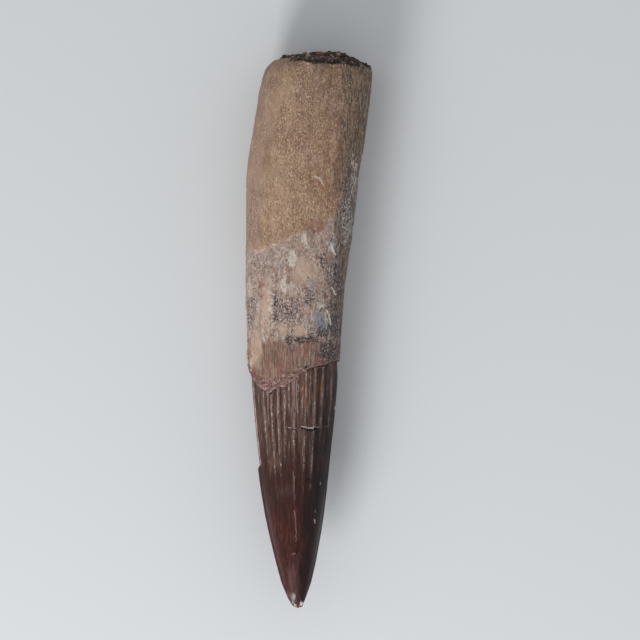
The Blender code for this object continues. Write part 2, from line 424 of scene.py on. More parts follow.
@dataclass(frozen=True)
class Flutes:
    """Lengthwise arrises of the enamel, with hollow flutes between them.

    Fields:
        upper: each ridge of the upper side, as (degrees, where it dies out, height).
        lower_from, lower_to, lower_count: those underneath, evenly spread between two angles.
        lower_length: nearest and farthest that those die out.
        lower_height, lower_unevenness: their height, and what it is multiplied by.
        lower_stray: how far each is off its place, as a share of their spacing.
        short_end, short_height, short_share: of the short ridges in some of the gaps between them.
        arris: half the width of a crest at half its height.
        growth: over what length a ridge rises to its full height.
        wander, wander_length: the degrees by which it strays sideways, and over what length.
        wear, wear_length: its mean height, how much that varies, and over what length.
        crest_sharpness: the power that narrows a crest to its worn line.
        sink, sink_over: the share of a ridge's height that the ground between is sunk by, and where.
        hollow_below, hollow_fade, hollow_over: hollows lie where no crest is over this share, and where.
        WANDER_SEED, WEAR_SEED: the first seeds of both noises.
    """

    WANDER_SEED = 40
    WEAR_SEED = 80

    upper: tuple[Size, ...] = (
        *((12.0, 33.0, 0.2), (28.0, 31.0, 0.34), (38.0, 38.0, 0.22), (48.0, 25.0, 0.36)),
        *((60.5, 19.0, 0.38), (67.5, 37.0, 0.26), (74.0, 18.0, 0.4), (79.0, 35.0, 0.22)),
        *((84.5, 36.0, 0.24), (89.5, 12.0, 0.42), (96.4, 36.0, 0.24), (103.2, 26.0, 0.36)),
        *((111.7, 21.0, 0.38), (122.0, 19.0, 0.36), (128.5, 35.0, 0.24), (136.8, 27.0, 0.32)),
    )
    lower_from: float = 198.0
    lower_to: float = 345.0
    lower_count: int = 13
    lower_length: Pair = (15.0, 31.0)
    lower_height: float = 0.34
    lower_unevenness: Pair = (0.8, 1.15)
    lower_stray: float = 0.16
    short_end: float = 38.0
    short_height: float = 0.15
    short_share: float = 0.55
    arris: float = 0.25
    growth: float = 13.0
    wander: float = 0.7
    wander_length: float = 7.0
    wear: Pair = (0.85, 0.25)
    wear_length: float = 2.3
    crest_sharpness: int = 3
    sink: float = 0.35
    sink_over: Span = (18.0, 18.0)
    hollow_below: float = 0.5
    hollow_fade: float = 0.35
    hollow_over: Span = (14.0, 12.0)

    def ridges(self) -> tuple[Size, ...]:
        """All ridges: those of the upper side, and those of the underside with a short one now and then."""
        rng = np.random.default_rng(SEED)
        places = np.linspace(self.lower_from, self.lower_to, self.lower_count)
        spacing = places[1] - places[0]
        places += rng.uniform(-self.lower_stray, self.lower_stray, len(places)) * spacing
        ends = rng.uniform(*self.lower_length, len(places))
        heights = self.lower_height * rng.uniform(*self.lower_unevenness, len(places))
        main = list(zip(places, ends, heights))
        short = [
            (place + spacing / 2.0, self.short_end, self.short_height)
            for place in places[:-1]
            if rng.random() < self.short_share
        ]
        return (*self.upper, *main, *short)

    def relief(self, skin: Skin) -> tuple[Array, Array, Array]:
        """Height of the ridges, and how much of a crest and of a hollow each point is.

        A crest's profile is 1 / (1 + (d / arris)^2) in the distance d from its line, which is sharp at
        the crest and hollow between crests.

        Returns:
            The relief in millimetres, the crests and the hollows from 0 to 1.
        """
        relief, crests, ridged, level = (np.zeros_like(skin.along) for _ in range(4))
        on_line = np.stack([skin.along, level, level], axis=-1)
        mean, spread = self.wear
        for number, (degrees, end, height) in enumerate(self.ridges()):
            stray = self.wander * smooth_noise(on_line, self.wander_length, SEED + self.WANDER_SEED + number)
            crest = 1.0 / (1.0 + (skin.apart(degrees + stray) / self.arris) ** 2)
            grown = rise(skin.along, end, self.growth)
            worn = mean + spread * smooth_noise(on_line, self.wear_length, SEED + self.WEAR_SEED + number)
            relief += height * grown * worn * crest
            line = crest**self.crest_sharpness * grown * worn * min(1.0, height / self.lower_height)
            crests = np.maximum(crests, line)
            ridged = np.maximum(ridged, crest * grown)
        on_crown = 1.0 - skin.on_root
        sunk = self.sink * self.lower_height * rise(skin.along, *self.sink_over)
        hollows = fall(ridged, self.hollow_below, self.hollow_fade) * rise(skin.along, *self.hollow_over)
        return (relief - sunk) * on_crown, crests * on_crown, hollows * on_crown


@dataclass(frozen=True)
class Keels:
    """The two cutting keels of the crown, the left one chipped away along its upper part.

    Fields:
        left, right: their angles in degrees.
        scar_at: the angle of the pale scar.
        height, width: of the keel's flange.
        right_share: how high the right keel is beside the left one.
        start, fade: where the keels begin, and over what length they rise and die out.
        chip_from, chip_to: between which the left keel is gone.
        chip_break, chip_stray: over what length it breaks off, and how ragged the break is.
        chip_depth: mean depth of the scar, and how much that varies.
        chip_width, chip_taper, chip_least, chip_ends: half its width, and how it narrows and ends.
        chip_unevenness, chip_patches: its width, as a share of the widest, and how pale it is.
        chip_edges, chip_edge_fade: how ragged its edges are, and how soft.
        crumbs, CRUMB_SEED: the crumbs that the break is ragged with, and their seed.
    """

    CRUMB_SEED = 5

    left: float = 180.0
    right: float = 0.0
    scar_at: float = 168.0
    height: float = 0.46
    width: float = 0.62
    right_share: float = 0.55
    start: float = 1.5
    fade: float = 4.0
    chip_from: float = 29.6
    chip_to: float = 47.5
    chip_break: float = 0.5
    chip_stray: float = 0.3
    chip_depth: Pair = (0.12, 0.1)
    chip_width: float = 0.95
    chip_taper: float = 4.0
    chip_least: float = 0.3
    chip_ends: Pair = (0.6, 2.0)
    chip_unevenness: Noise = Noise((3.0, 4.0), 2, 6, 0.55, 0.62)
    chip_edges: Noise = Noise((0.5, 1.3), 3, 7, 0.2)
    chip_edge_fade: float = 0.25
    chip_patches: Noise = Noise((0.8, 1.6), 2, 8, 0.7, 0.85)
    crumbs: Pair = (0.8, 0.9)

    def relief(self, skin: Skin) -> Array:
        """Height of the keels: a bell across each, cut off sharply where the left one is chipped."""
        whole = rise(skin.along, self.start, self.fade) * smooth_step(-skin.past_edge / self.fade)
        tall, size = self.crumbs
        ragged = tall * smooth_noise(skin.points, size, SEED + self.CRUMB_SEED)
        kept = smooth_step((self.chip_from - skin.along + ragged * self.chip_stray) / self.chip_break)
        mean, spread = self.chip_depth
        left = bell(skin.apart(self.left), self.width) * kept
        scar = bell(skin.apart(self.scar_at), self.chip_width) * (1.0 - kept) * (mean + spread * ragged)
        right = bell(skin.apart(self.right), self.width) * self.right_share
        return self.height * whole * (left - scar + right)

    def scar(self, skin: Skin) -> Array:
        """1 where the chipped keel shows pale dentine."""
        wide = self.chip_width * skin.noise(self.chip_unevenness)
        wide *= smooth_step((self.chip_to - skin.along) / self.chip_taper + self.chip_least)
        inside = wide - np.abs(skin.apart(self.scar_at)) + skin.noise(self.chip_edges)
        first, last = self.chip_ends
        ends = rise(skin.along, self.chip_from, first) * fall(skin.along, self.chip_to, last)
        pale = np.clip(skin.noise(self.chip_patches), 0.0, 1.0)
        return smooth_step(inside / self.chip_edge_fade) * ends * pale


@dataclass(frozen=True)
class Crack:
    """A crack that crosses the upper side, with a raised lip on the root's side of it and a painted highlight
    on that lip.

    Fields:
        path: its line as (across, along) points, from left to right.
        width, depth: of its gap.
        lip: height of the lip.
        gape: which part of it gapes widest, as (across, half length); the rest is a hairline.
        END_FADE, HAIRLINE: over what length its ends close, and how open a hairline is.
        LIP_OFFSET: how far the lip lies from the gap, in widths of the gap.
        PALE_LIP, FULL_LIP: the strength of the painted highlight on the highest lip, and that lip's height.
    """

    END_FADE = 0.8
    HAIRLINE = 0.35
    LIP_OFFSET = 1.5
    PALE_LIP = 0.55
    FULL_LIP = 0.16

    path: Curve
    width: float
    depth: float
    lip: float
    gape: Pair

    def masks(self, skin: Skin) -> tuple[Array, Array]:
        """How much of the gap and of the lip each point is, each from 0 to 1."""
        offset = skin.along - curve_through(self.path, skin.across)
        first, last = self.path[0][0], self.path[-1][0]
        inside = smooth_step((skin.across - first) / self.END_FADE + 0.5)
        inside = inside * smooth_step((last - skin.across) / self.END_FADE + 0.5) * skin.upper
        middle, half_length = self.gape
        open_here = self.HAIRLINE + (1.0 - self.HAIRLINE) * bell(skin.across - middle, half_length)
        gap = bell(offset, self.width * open_here) * inside * open_here
        lip = bell(offset - self.LIP_OFFSET * self.width, self.width) * inside * open_here
        return gap, lip


CROWN_CRACKS = (
    Crack(
        (
            *((-5.4, 37.7), (-3.2, 37.3), (-2.3, 37.15), (-1.5, 37.75), (-0.7, 37.45)),
            *((0.0, 37.2), (0.8, 37.35), (1.7, 37.7), (2.7, 37.4), (4.8, 37.8)),
        ),
        *(0.24, 0.42, 0.16, (0.6, 1.5)),
    ),
    Crack(((-3.8, 30.6), (-1.5, 30.4), (0.0, 30.2), (1.7, 30.0), (3.6, 30.1)), 0.13, 0.07, 0.03, (-1.0, 1.4)),
    Crack(((-2.9, 26.6), (-1.0, 26.9), (0.9, 26.8), (1.9, 26.9)), 0.12, 0.06, 0.03, (-0.3, 1.2)),
    Crack(((-3.3, 11.2), (-2.0, 11.6), (-0.5, 11.35), (0.9, 11.5)), 0.12, 0.07, 0.04, (-1.6, 1.0)),
)


def crossing_cracks(skin: Skin) -> tuple[Array, Array, Array]:
    """The cracks that cross the crown.

    Returns:
        Their gaps and the painted highlights on their lips, from 0 to 1, and their relief in millimetres.
    """
    gaps, lip_highlights, relief = (np.zeros_like(skin.along) for _ in range(3))
    for crack in CROWN_CRACKS:
        gap, lip = crack.masks(skin)
        relief += crack.lip * lip - crack.depth * gap
        gaps = np.maximum(gaps, gap)
        lip_highlights = np.maximum(lip_highlights, lip * crack.PALE_LIP * (crack.lip / crack.FULL_LIP) ** 2)
    return gaps, lip_highlights, relief


@dataclass(frozen=True)
class TipChip:
    """The chipped point of the crown: flat facets cut off it, the first of them showing pale dentine.

    Fields:
        facets: each facet as a point on it and the direction that it faces.
        roughness: how uneven the facets are.
        flatness: the share of what lies outside a facet that is cut off.
        pale_depth: how deep the first facet must cut to show dentine.
    """

    facets: tuple[tuple[Size, Size], ...] = (
        ((-1.5, 0.75, 11.75), (0.66, -0.42, 0.62)),
        ((-2.2, -0.1, 10.9), (0.10, -0.90, -0.42)),
    )
    roughness: Noise = Noise(0.9, 3, 9, 0.15)
    flatness: float = 0.92
    pale_depth: float = 0.16

    def cut(self, points: Array) -> tuple[Array, Array]:
        """Moves what lies outside a facet's plane onto it, along the facet's direction.

        Returns:
            The points, and how much dentine each shows, from 0 to 1.
        """
        rough = self.roughness.at(points)
        pale = np.zeros_like(rough)
        for number, (place, facing) in enumerate(self.facets):
            facing = np.array(facing) / np.linalg.norm(facing)
            outside = np.maximum((points - np.array(place)) @ facing + rough, 0.0)
            points = points - outside[..., None] * facing * self.flatness
            if number == 0:
                pale = smooth_step(outside / self.pale_depth)
        return points, pale


@dataclass(frozen=True)
class EnamelTones:
    """Where the enamel is paler, darker or polished; its darker right flank is partly painted shade.

    Fields:
        base, crests, polish: the paler base, the worn crests, and the polished end.
        dusk_from, dusk_drift: how far left the dark right flank begins at the tip, and how that drifts
            right along the tooth.
        dusk_fade, dusk_growth, dusk_widest: over what width it comes in there, and how that grows.
        dusk_loss, dusk_lost: the share of it that is lost towards the root, and where.
    """

    base: Span = (25.0, 21.0)
    crests: Span = (13.0, 24.0)
    polish: Span = (34.0, 22.0)
    dusk_from: float = 4.0
    dusk_drift: float = 0.05
    dusk_fade: float = 2.4
    dusk_growth: float = 0.16
    dusk_widest: float = 5.6
    dusk_loss: float = 0.45
    dusk_lost: Span = (36.0, 10.0)

    def dusk(self, skin: Skin) -> Array:
        """1 on the dark right flank of the enamel's upper side, partly darker enamel and partly painted
        shade.
        """
        reach = skin.across + self.dusk_from - self.dusk_drift * skin.along
        width = np.minimum(self.dusk_fade + self.dusk_growth * skin.along, self.dusk_widest)
        left = 1.0 - self.dusk_loss * rise(skin.along, *self.dusk_lost)
        return smooth_step(reach / width) * left * skin.upper


# ---- Root: crust, neck, rust band and scars ----


@dataclass(frozen=True)
class Patch:
    """A soft oval patch of the upper side: its middle and half sizes across and along, and its strength.

    It has its full strength in the middle half of the oval, and is gone at REACH times its size.
    """

    REACH = 1.5

    across: float
    along: float
    half_across: float
    half_along: float
    most: float = 1.0

    def strength(self, skin: Skin, ragged: Array) -> Array:
        """How strong it is at each point, its edge strayed by a noise."""
        reach = np.hypot(
            (skin.across - self.across) / self.half_across, (skin.along - self.along) / self.half_along
        )
        return self.most * smooth_step(self.REACH - reach + ragged) * skin.upper


@dataclass(frozen=True)
class Stripe:
    """A soft lengthwise stripe: its angle and half its width, gone at REACH times that."""

    REACH = 1.6

    degrees: float
    half_width: float

    def strength(self, skin: Skin) -> Array:
        """How strong it is at each point."""
        return smooth_step(self.REACH - np.abs(skin.apart(self.degrees)) / self.half_width)


def patches(*rows: tuple[float, ...]) -> tuple[Patch, ...]:
    """Patches from the values of each."""
    return tuple(Patch(*row) for row in rows)


def patchwork(skin: Skin, pieces: tuple[Patch, ...], ragged: Array) -> Array:
    """The strongest of several patches at each point."""
    return np.max([patch.strength(skin, ragged) for patch in pieces], axis=0)


@dataclass(frozen=True)
class RustBand:
    """The crumbly band of rust on the root's side of the enamel's edge, and the crack that carries it on.

    Fields:
        width: of the band, as (degrees, width) pairs.
        stray, lower_fade, upper_fade: how ragged its edges are, and how soft each is.
        overlap: how far it reaches over the enamel.
        crumble, crumbs: height of its crumbs, and their noise.
        crack_from, crack_to: the degrees between which the edge is an open crack.
        crack_at, crack_width, crack_depth, crack_stray: of that crack, from the enamel's edge.
        shadow_at, shadow_width, shadow_most, shadow_share: of the painted shadow, a dark broken line under
        the band.
    """

    width: Curve = (
        *((0, 0.25), (30, 0.2), (60, 0.4), (74, 1.5), (90, 2.1), (105, 2.8), (120, 3.0)),
        *((140, 2.3), (165, 1.2), (200, 0.9), (240, 2.1), (285, 0.8), (330, 0.5)),
    )
    stray: Noise = Noise(1.1, 3, 11, 0.5)
    overlap: float = 0.5
    lower_fade: float = 0.45
    upper_fade: float = 0.6
    crumble: float = 0.17
    crumbs: Noise = Noise(0.7, 2, 12, level=0.3)
    crack_from: Span = (5.0, 8.0)
    crack_to: Span = (76.0, 6.0)
    crack_at: float = 0.1
    crack_width: float = 0.2
    crack_depth: float = 0.28
    crack_stray: Noise = Noise(1.4, 2, 13, 0.08)
    shadow_at: float = -0.25
    shadow_width: float = 0.3
    shadow_most: float = 0.7
    shadow_share: Noise = Noise(0.8, 2, 56, 1.3, 0.2)

    def mask(self, skin: Skin) -> Array:
        """1 inside the band, with ragged edges."""
        ragged = skin.noise(self.stray)
        lower = smooth_step((skin.past_edge + self.overlap + ragged) / self.lower_fade)
        width = curve_around(self.width, skin.angle)
        return lower * smooth_step((width - skin.past_edge + ragged) / self.upper_fade)

    def relief(self, skin: Skin) -> Array:
        """Crumbs of rust: noise of about half a millimetre, kept inside the band."""
        return self.crumble * self.mask(skin) * skin.noise(self.crumbs)

    def cracked(self, skin: Skin) -> Array:
        """1 between the angles where the edge is a crack."""
        degrees = np.degrees(skin.angle) % 360.0
        return rise(degrees, *self.crack_from) * fall(degrees, *self.crack_to)

    def crack(self, skin: Skin) -> Array:
        """1 in the crack along the enamel's edge."""
        beside = skin.past_edge - self.crack_at + skin.noise(self.crack_stray)
        return bell(beside, self.crack_width) * self.cracked(skin)

    def shadow(self, skin: Skin) -> Array:
        """A painted shadow: the dark broken line where the band meets the enamel."""
        line = self.shadow_most * bell(skin.past_edge - self.shadow_at, self.shadow_width)
        return line * smooth_step(skin.noise(self.shadow_share))


@dataclass(frozen=True)
class RootSurface:
    """What covers the root: a sandy crust, a bleached and speckled stretch, and a tan neck.

    Fields:
        crust_edge, crust_stray, crust_fade: where the crust begins, and that edge.
        crust_thickness, crust_unevenness: how far it stands above the root.
        sand: relief of the crust.
        wear, pits, pit_over, pit_depth: relief of the bare root, with pits where their noise is high.
        neck_end, neck_stray, neck_fade, grain: where the tan neck ends, that edge, and its relief.
        flank, flank_spread, flank_reach: middle and half width of the dark flank, and where it is gone.
        flank_stray, flank_from: that edge, and where it begins beyond the enamel.
        furrows: lengthwise relief of the flank.
        bite, bite_depth, bite_reach: how the broken rim is bitten back, and how far from the rim.
        gold, gold_from, gold_to: the golden stripe of clean sand.
        rubbed, rubbed_from, rubbed_share: the stripe where loose grit is rubbed off, and how much of it.
        grit, grit_least: how unevenly grit lies, and the least of it.
        grime, grime_reach, grime_share: the rim's sediment, how far it reaches, and what it covers.
    """

    crust_edge: Curve = (
        *((0, 96.0), (20, 92.0), (36, 88.0), (47, 84.5), (56, 81.5), (63, 80.3), (70, 78.7), (75, 80.2)),
        *((82, 79.8), (92, 78.1), (104, 76.5), (130, 75.0), (165, 74.5), (200, 72.5), (235, 80.0)),
        *((270, 92.0), (310, 104.0), (340, 100.0)),
    )
    crust_stray: Noise = Noise(2.4, 4, 21, 1.3)
    crust_fade: float = 0.8
    crust_thickness: float = 0.16
    crust_unevenness: Noise = Noise(2.2, 2, 23, 0.3, 1.0)
    sand: Noise = Noise((0.6, 1.6), 2, 24, 0.03)
    wear: Noise = Noise((0.9, 2.2), 3, 25, 0.12)
    pits: Noise = Noise((0.7, 1.1), 2, 26)
    pit_over: Span = (0.45, 0.3)
    pit_depth: float = 0.16
    neck_end: float = 56.4
    neck_stray: Noise = Noise((1.0, 2.4), 3, 22, 1.5)
    neck_fade: float = 1.4
    grain: Noise = Noise((0.4, 6.0), 2, 28, 0.06)
    flank: float = 22.0
    flank_spread: float = 25.0
    flank_reach: float = 1.5
    flank_stray: Noise = Noise((1.2, 9.0), 2, 30, 0.25)
    flank_from: Span = (2.0, 6.0)
    furrows: Noise = Noise((0.6, 3.5), 3, 27, 0.1)
    bite: Noise = Noise(0.9, 3, 29, level=0.5)
    bite_depth: float = 0.2
    bite_reach: float = 1.2
    gold: Stripe = Stripe(97.0, 6.0)
    gold_from: Span = (74.0, 6.0)
    gold_to: Span = (100.0, 14.0)
    rubbed: Stripe = Stripe(148.0, 4.2)
    rubbed_from: Span = (83.0, 12.0)
    rubbed_share: float = 0.65
    grit: Noise = Noise((5.0, 9.0), 2, 57, 0.45)
    grit_least: float = 0.1
    grime: Noise = Noise(0.8, 3, 53, 0.7)
    grime_reach: float = 0.7
    grime_share: float = 0.8

    def crust(self, skin: Skin) -> Array:
        """1 where the sandy crust lies, with a ragged edge."""
        edge = curve_around(self.crust_edge, skin.angle)
        return smooth_step((skin.along - edge + skin.noise(self.crust_stray)) / self.crust_fade)

    def dark_flank(self, skin: Skin) -> Array:
        """1 on the dark, lengthwise streaked right flank of the root."""
        reach = np.abs(skin.apart(self.flank)) / (np.radians(self.flank_spread) * skin.girth)
        flank = smooth_step(self.flank_reach - reach + skin.noise(self.flank_stray))
        return flank * rise(skin.past_edge, *self.flank_from)

    def neck(self, skin: Skin) -> Array:
        """1 on the tan neck above the enamel."""
        left = self.neck_end - skin.along + skin.noise(self.neck_stray)
        return smooth_step(left / self.neck_fade) * skin.on_root

    def golden(self, skin: Skin) -> Array:
        """1 on the golden stripe of clean sand."""
        ends = rise(skin.along, *self.gold_from) * fall(skin.along, *self.gold_to)
        return ends * self.gold.strength(skin)

    def loose_grit(self, skin: Skin) -> Array:
        """How much loose grit lies on the crust."""
        rubbed = self.rubbed.strength(skin) * rise(skin.along, *self.rubbed_from)
        left = 1.0 - self.rubbed_share * rubbed + skin.noise(self.grit)
        return np.clip(left, self.grit_least, 1.0)

    def rim_grime(self, skin: Skin) -> Array:
        """1 where sediment covers the rim."""
        return smooth_step(self.grime_share - skin.to_rim / self.grime_reach + skin.noise(self.grime))

    def relief(self, skin: Skin) -> Array:
        """Crust, sand, pits and lengthwise grain of the root, in millimetres."""
        crust, flank, neck = self.crust(skin), self.dark_flank(skin), self.neck(skin)
        relief = (
            self.crust_thickness * crust * skin.noise(self.crust_unevenness)
            + skin.noise(self.sand, crust)
            + skin.noise(self.wear, 1.0 - crust, 1.0 - neck)
            - self.pit_depth * (1.0 - crust) * rise(skin.noise(self.pits), *self.pit_over)
            + skin.noise(self.furrows, flank)
            + skin.noise(self.grain, neck)
            - self.bite_depth * smooth_step(1.0 - skin.to_rim / self.bite_reach) * skin.noise(self.bite)
        )
        return relief * skin.on_root


@dataclass(frozen=True)
class Flake:
    """A small chip or lump that stands proud: where it is, its half sizes round and along, its height.

    EDGE is how ragged its edge is, and EDGE_FADE how soft.
    """

    EDGE = Noise(0.7, 2, 31, 0.25)
    EDGE_FADE = 0.35

    degrees: float
    along: float
    half_round: float
    half_along: float
    height: float

    def strength(self, skin: Skin) -> Array:
        """1 on the flake, with a steep ragged edge."""
        reach = np.hypot(
            skin.apart(self.degrees) / self.half_round, (skin.along - self.along) / self.half_along
        )
        return smooth_step((1.0 - reach + skin.noise(self.EDGE)) / self.EDGE_FADE)


FLAKES = (
    Flake(172.0, 52.3, 0.75, 1.9, 0.42),
    Flake(9.0, 41.8, 0.5, 0.45, 0.24),
)

# How the edges of patches stray: their noise, how much of it stains follow, and how much pits do.
PATCH_NOISE = Noise((1.1, 1.6), 3, 57)
STAIN_RAGGEDNESS = 0.45
PIT_RAGGEDNESS = 0.1

PATCHES = {
    Mask.SPECK: patches(
        (-4.3, 62.2, 3.4, 3.3), (-6.9, 63.0, 0.9, 3.4), (-12.0, 62.6, 1.0, 4.0), (2.9, 72.6, 1.3, 1.9),
        (5.6, 68.5, 1.8, 5.0), (5.4, 60.0, 1.6, 4.0), (4.0, 53.4, 2.4, 3.4), (8.4, 84.5, 1.7, 9.5),
        (-10.2, 71.6, 2.4, 1.9, 0.6), (-7.5, 58.8, 0.9, 2.2, 0.7), (1.6, 57.9, 2.2, 1.6, 0.8),
        (0.3, 65.0, 2.0, 2.0), (-12.0, 81.0, 1.7, 4.6, 0.55),
    ),
    Mask.INK: patches(
        (-1.6, 56.0, 1.6, 1.0), (1.2, 56.1, 1.6, 1.0), (-4.3, 56.0, 1.3, 1.1), (4.3, 54.0, 2.1, 3.0),
        (5.6, 57.8, 1.4, 1.8, 0.9), (1.9, 57.2, 2.2, 1.0, 0.75), (-3.45, 57.6, 0.45, 0.8, 0.8),
        (5.0, 63.8, 1.1, 1.0), (-6.9, 63.2, 0.5, 2.4), (2.5, 62.4, 0.5, 0.5), (2.7, 57.5, 1.6, 1.5),
        (5.1, 59.6, 0.8, 1.6),
    ),
    Mask.SLATE: patches(
        (2.2, 60.6, 1.4, 2.2), (1.4, 59.2, 2.0, 1.0, 0.7), (3.4, 58.4, 1.8, 1.8), (-6.3, 71.3, 0.5, 0.9),
        (0.7, 67.6, 0.6, 1.4), (5.1, 76.2, 0.9, 1.6),
    ),
    Mask.IRON: patches(
        (1.5, 79.7, 1.6, 1.4), (1.9, 73.5, 0.6, 0.9), (-9.8, 67.9, 0.6, 1.0), (-9.8, 65.0, 0.4, 0.6),
        (-9.9, 62.3, 0.3, 0.4), (3.6, 65.2, 0.6, 0.6), (-0.4, 54.0, 0.7, 1.8), (2.1, 51.5, 1.0, 1.8),
        (-5.6, 50.0, 0.6, 2.6), (-8.4, 51.4, 0.5, 2.0), (-1.0, 45.6, 0.5, 3.4), (0.5, 45.6, 0.6, 3.6),
        (2.2, 46.0, 0.5, 3.0), (0.0, 92.0, 0.4, 0.4), (2.2, 89.6, 2.2, 3.4, 0.45),
        (4.6, 98.0, 3.2, 17.0, 0.42), (-12.0, 49.6, 1.6, 0.9),
    ),
    Mask.CREAM: patches(
        (-8.6, 63.2, 1.2, 4.6), (-5.2, 58.2, 1.1, 1.0), (-1.7, 58.2, 1.25, 1.0), (-10.9, 54.6, 1.2, 3.6),
        (-1.0, 70.5, 2.6, 2.4), (-5.0, 108.0, 2.6, 5.5), (-5.6, 87.0, 2.6, 8.0, 0.7),
    ),
    # Two of these patches, at (5.0, 75.4) and (3.6, 60.2), widen the painted glints on the root's right side.
    Mask.CHALK_AND_HIGHLIGHTS: patches(
        (-3.3, 72.9, 1.0, 2.0), (-5.2, 67.6, 0.5, 3.2), (-0.9, 77.3, 0.8, 1.2), (2.4, 63.1, 0.8, 0.8),
        (3.6, 60.2, 0.4, 1.6), (9.4, 90.0, 0.8, 4.5, 0.8), (8.2, 81.5, 1.1, 5.0), (5.0, 75.4, 0.7, 1.1),
        (-12.3, 66.0, 0.5, 2.0), (-8.0, 63.8, 0.6, 4.2, 0.62), (1.3, 18.1, 0.14, 0.35, 0.75),
        (1.4, 20.0, 0.1, 0.2), (2.5, 26.1, 0.1, 0.3),
    ),
    Mask.CHIP: patches((-1.2, 0.7, 0.45, 0.4), (-2.95, 0.3, 0.3, 0.35), (-11.7, 51.4, 0.3, 1.6, 0.7)),
    Mask.GOLD: patches((-3.7, 109.6, 1.5, 3.2), (-3.0, 92.0, 3.6, 5.0), (-4.6, 80.0, 4.0, 2.6)),
    Mask.FLANK: patches(
        (3.8, 110.5, 2.4, 4.0, 0.35), (8.5, 108.6, 1.5, 5.5, 0.8), (7.9, 98.6, 1.6, 6.5, 0.9),
        (11.6, 106.0, 0.9, 9.0), (10.6, 94.0, 0.7, 6.0), (6.5, 89.6, 1.4, 4.5, 0.7),
    ),
    # The last two patches, on the crown near the point, are a painted sheen; the others are rose-grey bloom
    # on the root.
    Mask.ROSE_AND_SHEEN: patches(
        (-9.6, 104.0, 1.7, 9.0), (-11.2, 90.0, 1.6, 10.0), (2.2, 111.2, 1.7, 3.2),
        (4.6, 105.0, 1.4, 2.6), (0.5, 95.4, 2.0, 1.6), (-11.8, 80.6, 1.8, 5.0),
        (-3.2, 4.4, 1.0, 5.2, 0.75), (-4.3, 24.6, 1.8, 1.2, 0.4),
    ),
    Mask.CRACK_AND_SHADOW: patches(
        (-8.0, 44.8, 0.34, 0.22), (-0.45, 50.4, 0.3, 0.25), (5.5, 70.1, 0.24, 0.24),
        (6.6, 74.3, 0.2, 0.24), (0.0, 69.1, 0.16, 0.16), (5.1, 77.4, 0.18, 0.18),
        (2.9, 73.1, 0.18, 0.18), (-10.5, 72.7, 0.2, 0.2), (-4.6, 72.7, 0.2, 0.24),
    ),
}

# The underside's stains lie where a mottling noise, times a sign, is high: each as its mask, the sign,
# the Span over which it comes in, and the most of it.
MOTTLE = Noise((2.2, 4.0), 3, 52)
UNDERSIDE = (
    (Mask.SPECK, 1.0, 0.0, 0.5, 0.7),
    (Mask.INK, 1.0, 0.35, 0.4, 0.6),
    (Mask.IRON, -1.0, 0.4, 0.3, 0.6),
    (Mask.CREAM, -1.0, 0.0, 0.5, 0.5),
)


def stained(skin: Skin, ragged: Array) -> dict[Mask, Array]:
    """The masks made of patches, which the underside gets from noise."""
    masks = {mask: patchwork(skin, pieces, STAIN_RAGGEDNESS * ragged) for mask, pieces in PATCHES.items()}
    mottle = skin.noise(MOTTLE) * (1.0 - skin.upper)
    for mask, sign, start, length, most in UNDERSIDE:
        masks[mask] += most * rise(sign * mottle, start, length)
    return {mask: np.minimum(values, 1.0) for mask, values in masks.items()}


# ---- The tooth's mesh ----


@dataclass(frozen=True)
class Plug:
    """The uneven plug of cemented sediment in the broken end.

    Fields:
        rings: points in each of its rings, from the rim inwards.
        bulge: how far its middle stands out.
        moat, moat_width: how deep it is sunk just inside the rim, over that share of its radius.
        lump, lump_lengths: height and lengths of its broad lumps.
        lobes: lumps that spill over the rim, each as (across, up, radius, height).
        grit: its roughness.
        brown_to, brown_fade: it is browner up to this far across, fading over that width.
    """

    rings: tuple[int, ...] = (336,) * 9 + (168,) * 7 + (84,) * 5 + (42,) * 3
    bulge: float = 0.4
    moat: float = 0.7
    moat_width: float = 0.07
    lump: float = 0.4
    lump_lengths: tuple[float, ...] = (7.0, 4.6, 3.3)
    lobes: tuple[tuple[float, ...], ...] = ((-4.6, 8.0, 1.9, 1.3), (3.0, 11.0, 2.2, 0.5))
    grit: Noise = Noise(1.5, 3, 33, 0.5)
    brown_to: float = 3.0
    brown_fade: float = 6.0

    def surface(self, rim: Array) -> tuple[list[Array], Array]:
        """Rings from the rim inwards, and the middle point, in millimetres.

        A ring's points lie on straight lines from the rim to its middle, pushed out along +Y by
        bulge x (1 - (1 - t)^2), where t runs from 0 at the rim to 1, with lumps, grit and the moat.
        """
        middle = rim.mean(axis=0)
        made = []
        for number, count in enumerate((*self.rings, 1), start=1):
            inward = number / (len(self.rings) + 1.0)
            outer = rim[:: len(rim) // count][:count] if count > 1 else middle[None]
            ring = outer + (middle - outer) * inward
            ring[:, 1] += self.height(ring, inward)
            made.append(ring)
        return made[:-1], made[-1][0]

    def height(self, ring: Array, inward: float) -> Array:
        """How far a ring is pushed out along +Y."""
        waves = [
            np.sin(2.0 * math.pi * ring[:, 0] / length + number)
            * np.cos(2.0 * math.pi * ring[:, 2] / length - number)
            for number, length in enumerate(self.lump_lengths)
        ]
        lumps = self.lump * sum(waves) / len(waves)
        moat = self.moat * float(bell(np.array(inward - self.moat_width), self.moat_width))
        spill = sum(
            height * bell(np.hypot(ring[:, 0] - across, ring[:, 2] - up), radius)
            for across, up, radius, height in self.lobes
        )
        return self.bulge * (1.0 - (1.0 - inward) ** 2) + lumps + self.grit.at(ring) + spill - moat

    def browned(self, across: Array) -> Array:
        """How brown it is at places across."""
        return fall(across, self.brown_to, self.brown_fade)


@dataclass(frozen=True)
class SandBed:
    """What sand grains lie on, as arrays of places in millimetres.

    Fields:
        side, outward: the tooth's side, and the directions that it faces.
        sandy: how much loose sand lies at each of those.
        plug: the plug's points.
    """

    side: Array
    outward: Array
    sandy: Array
    plug: Array


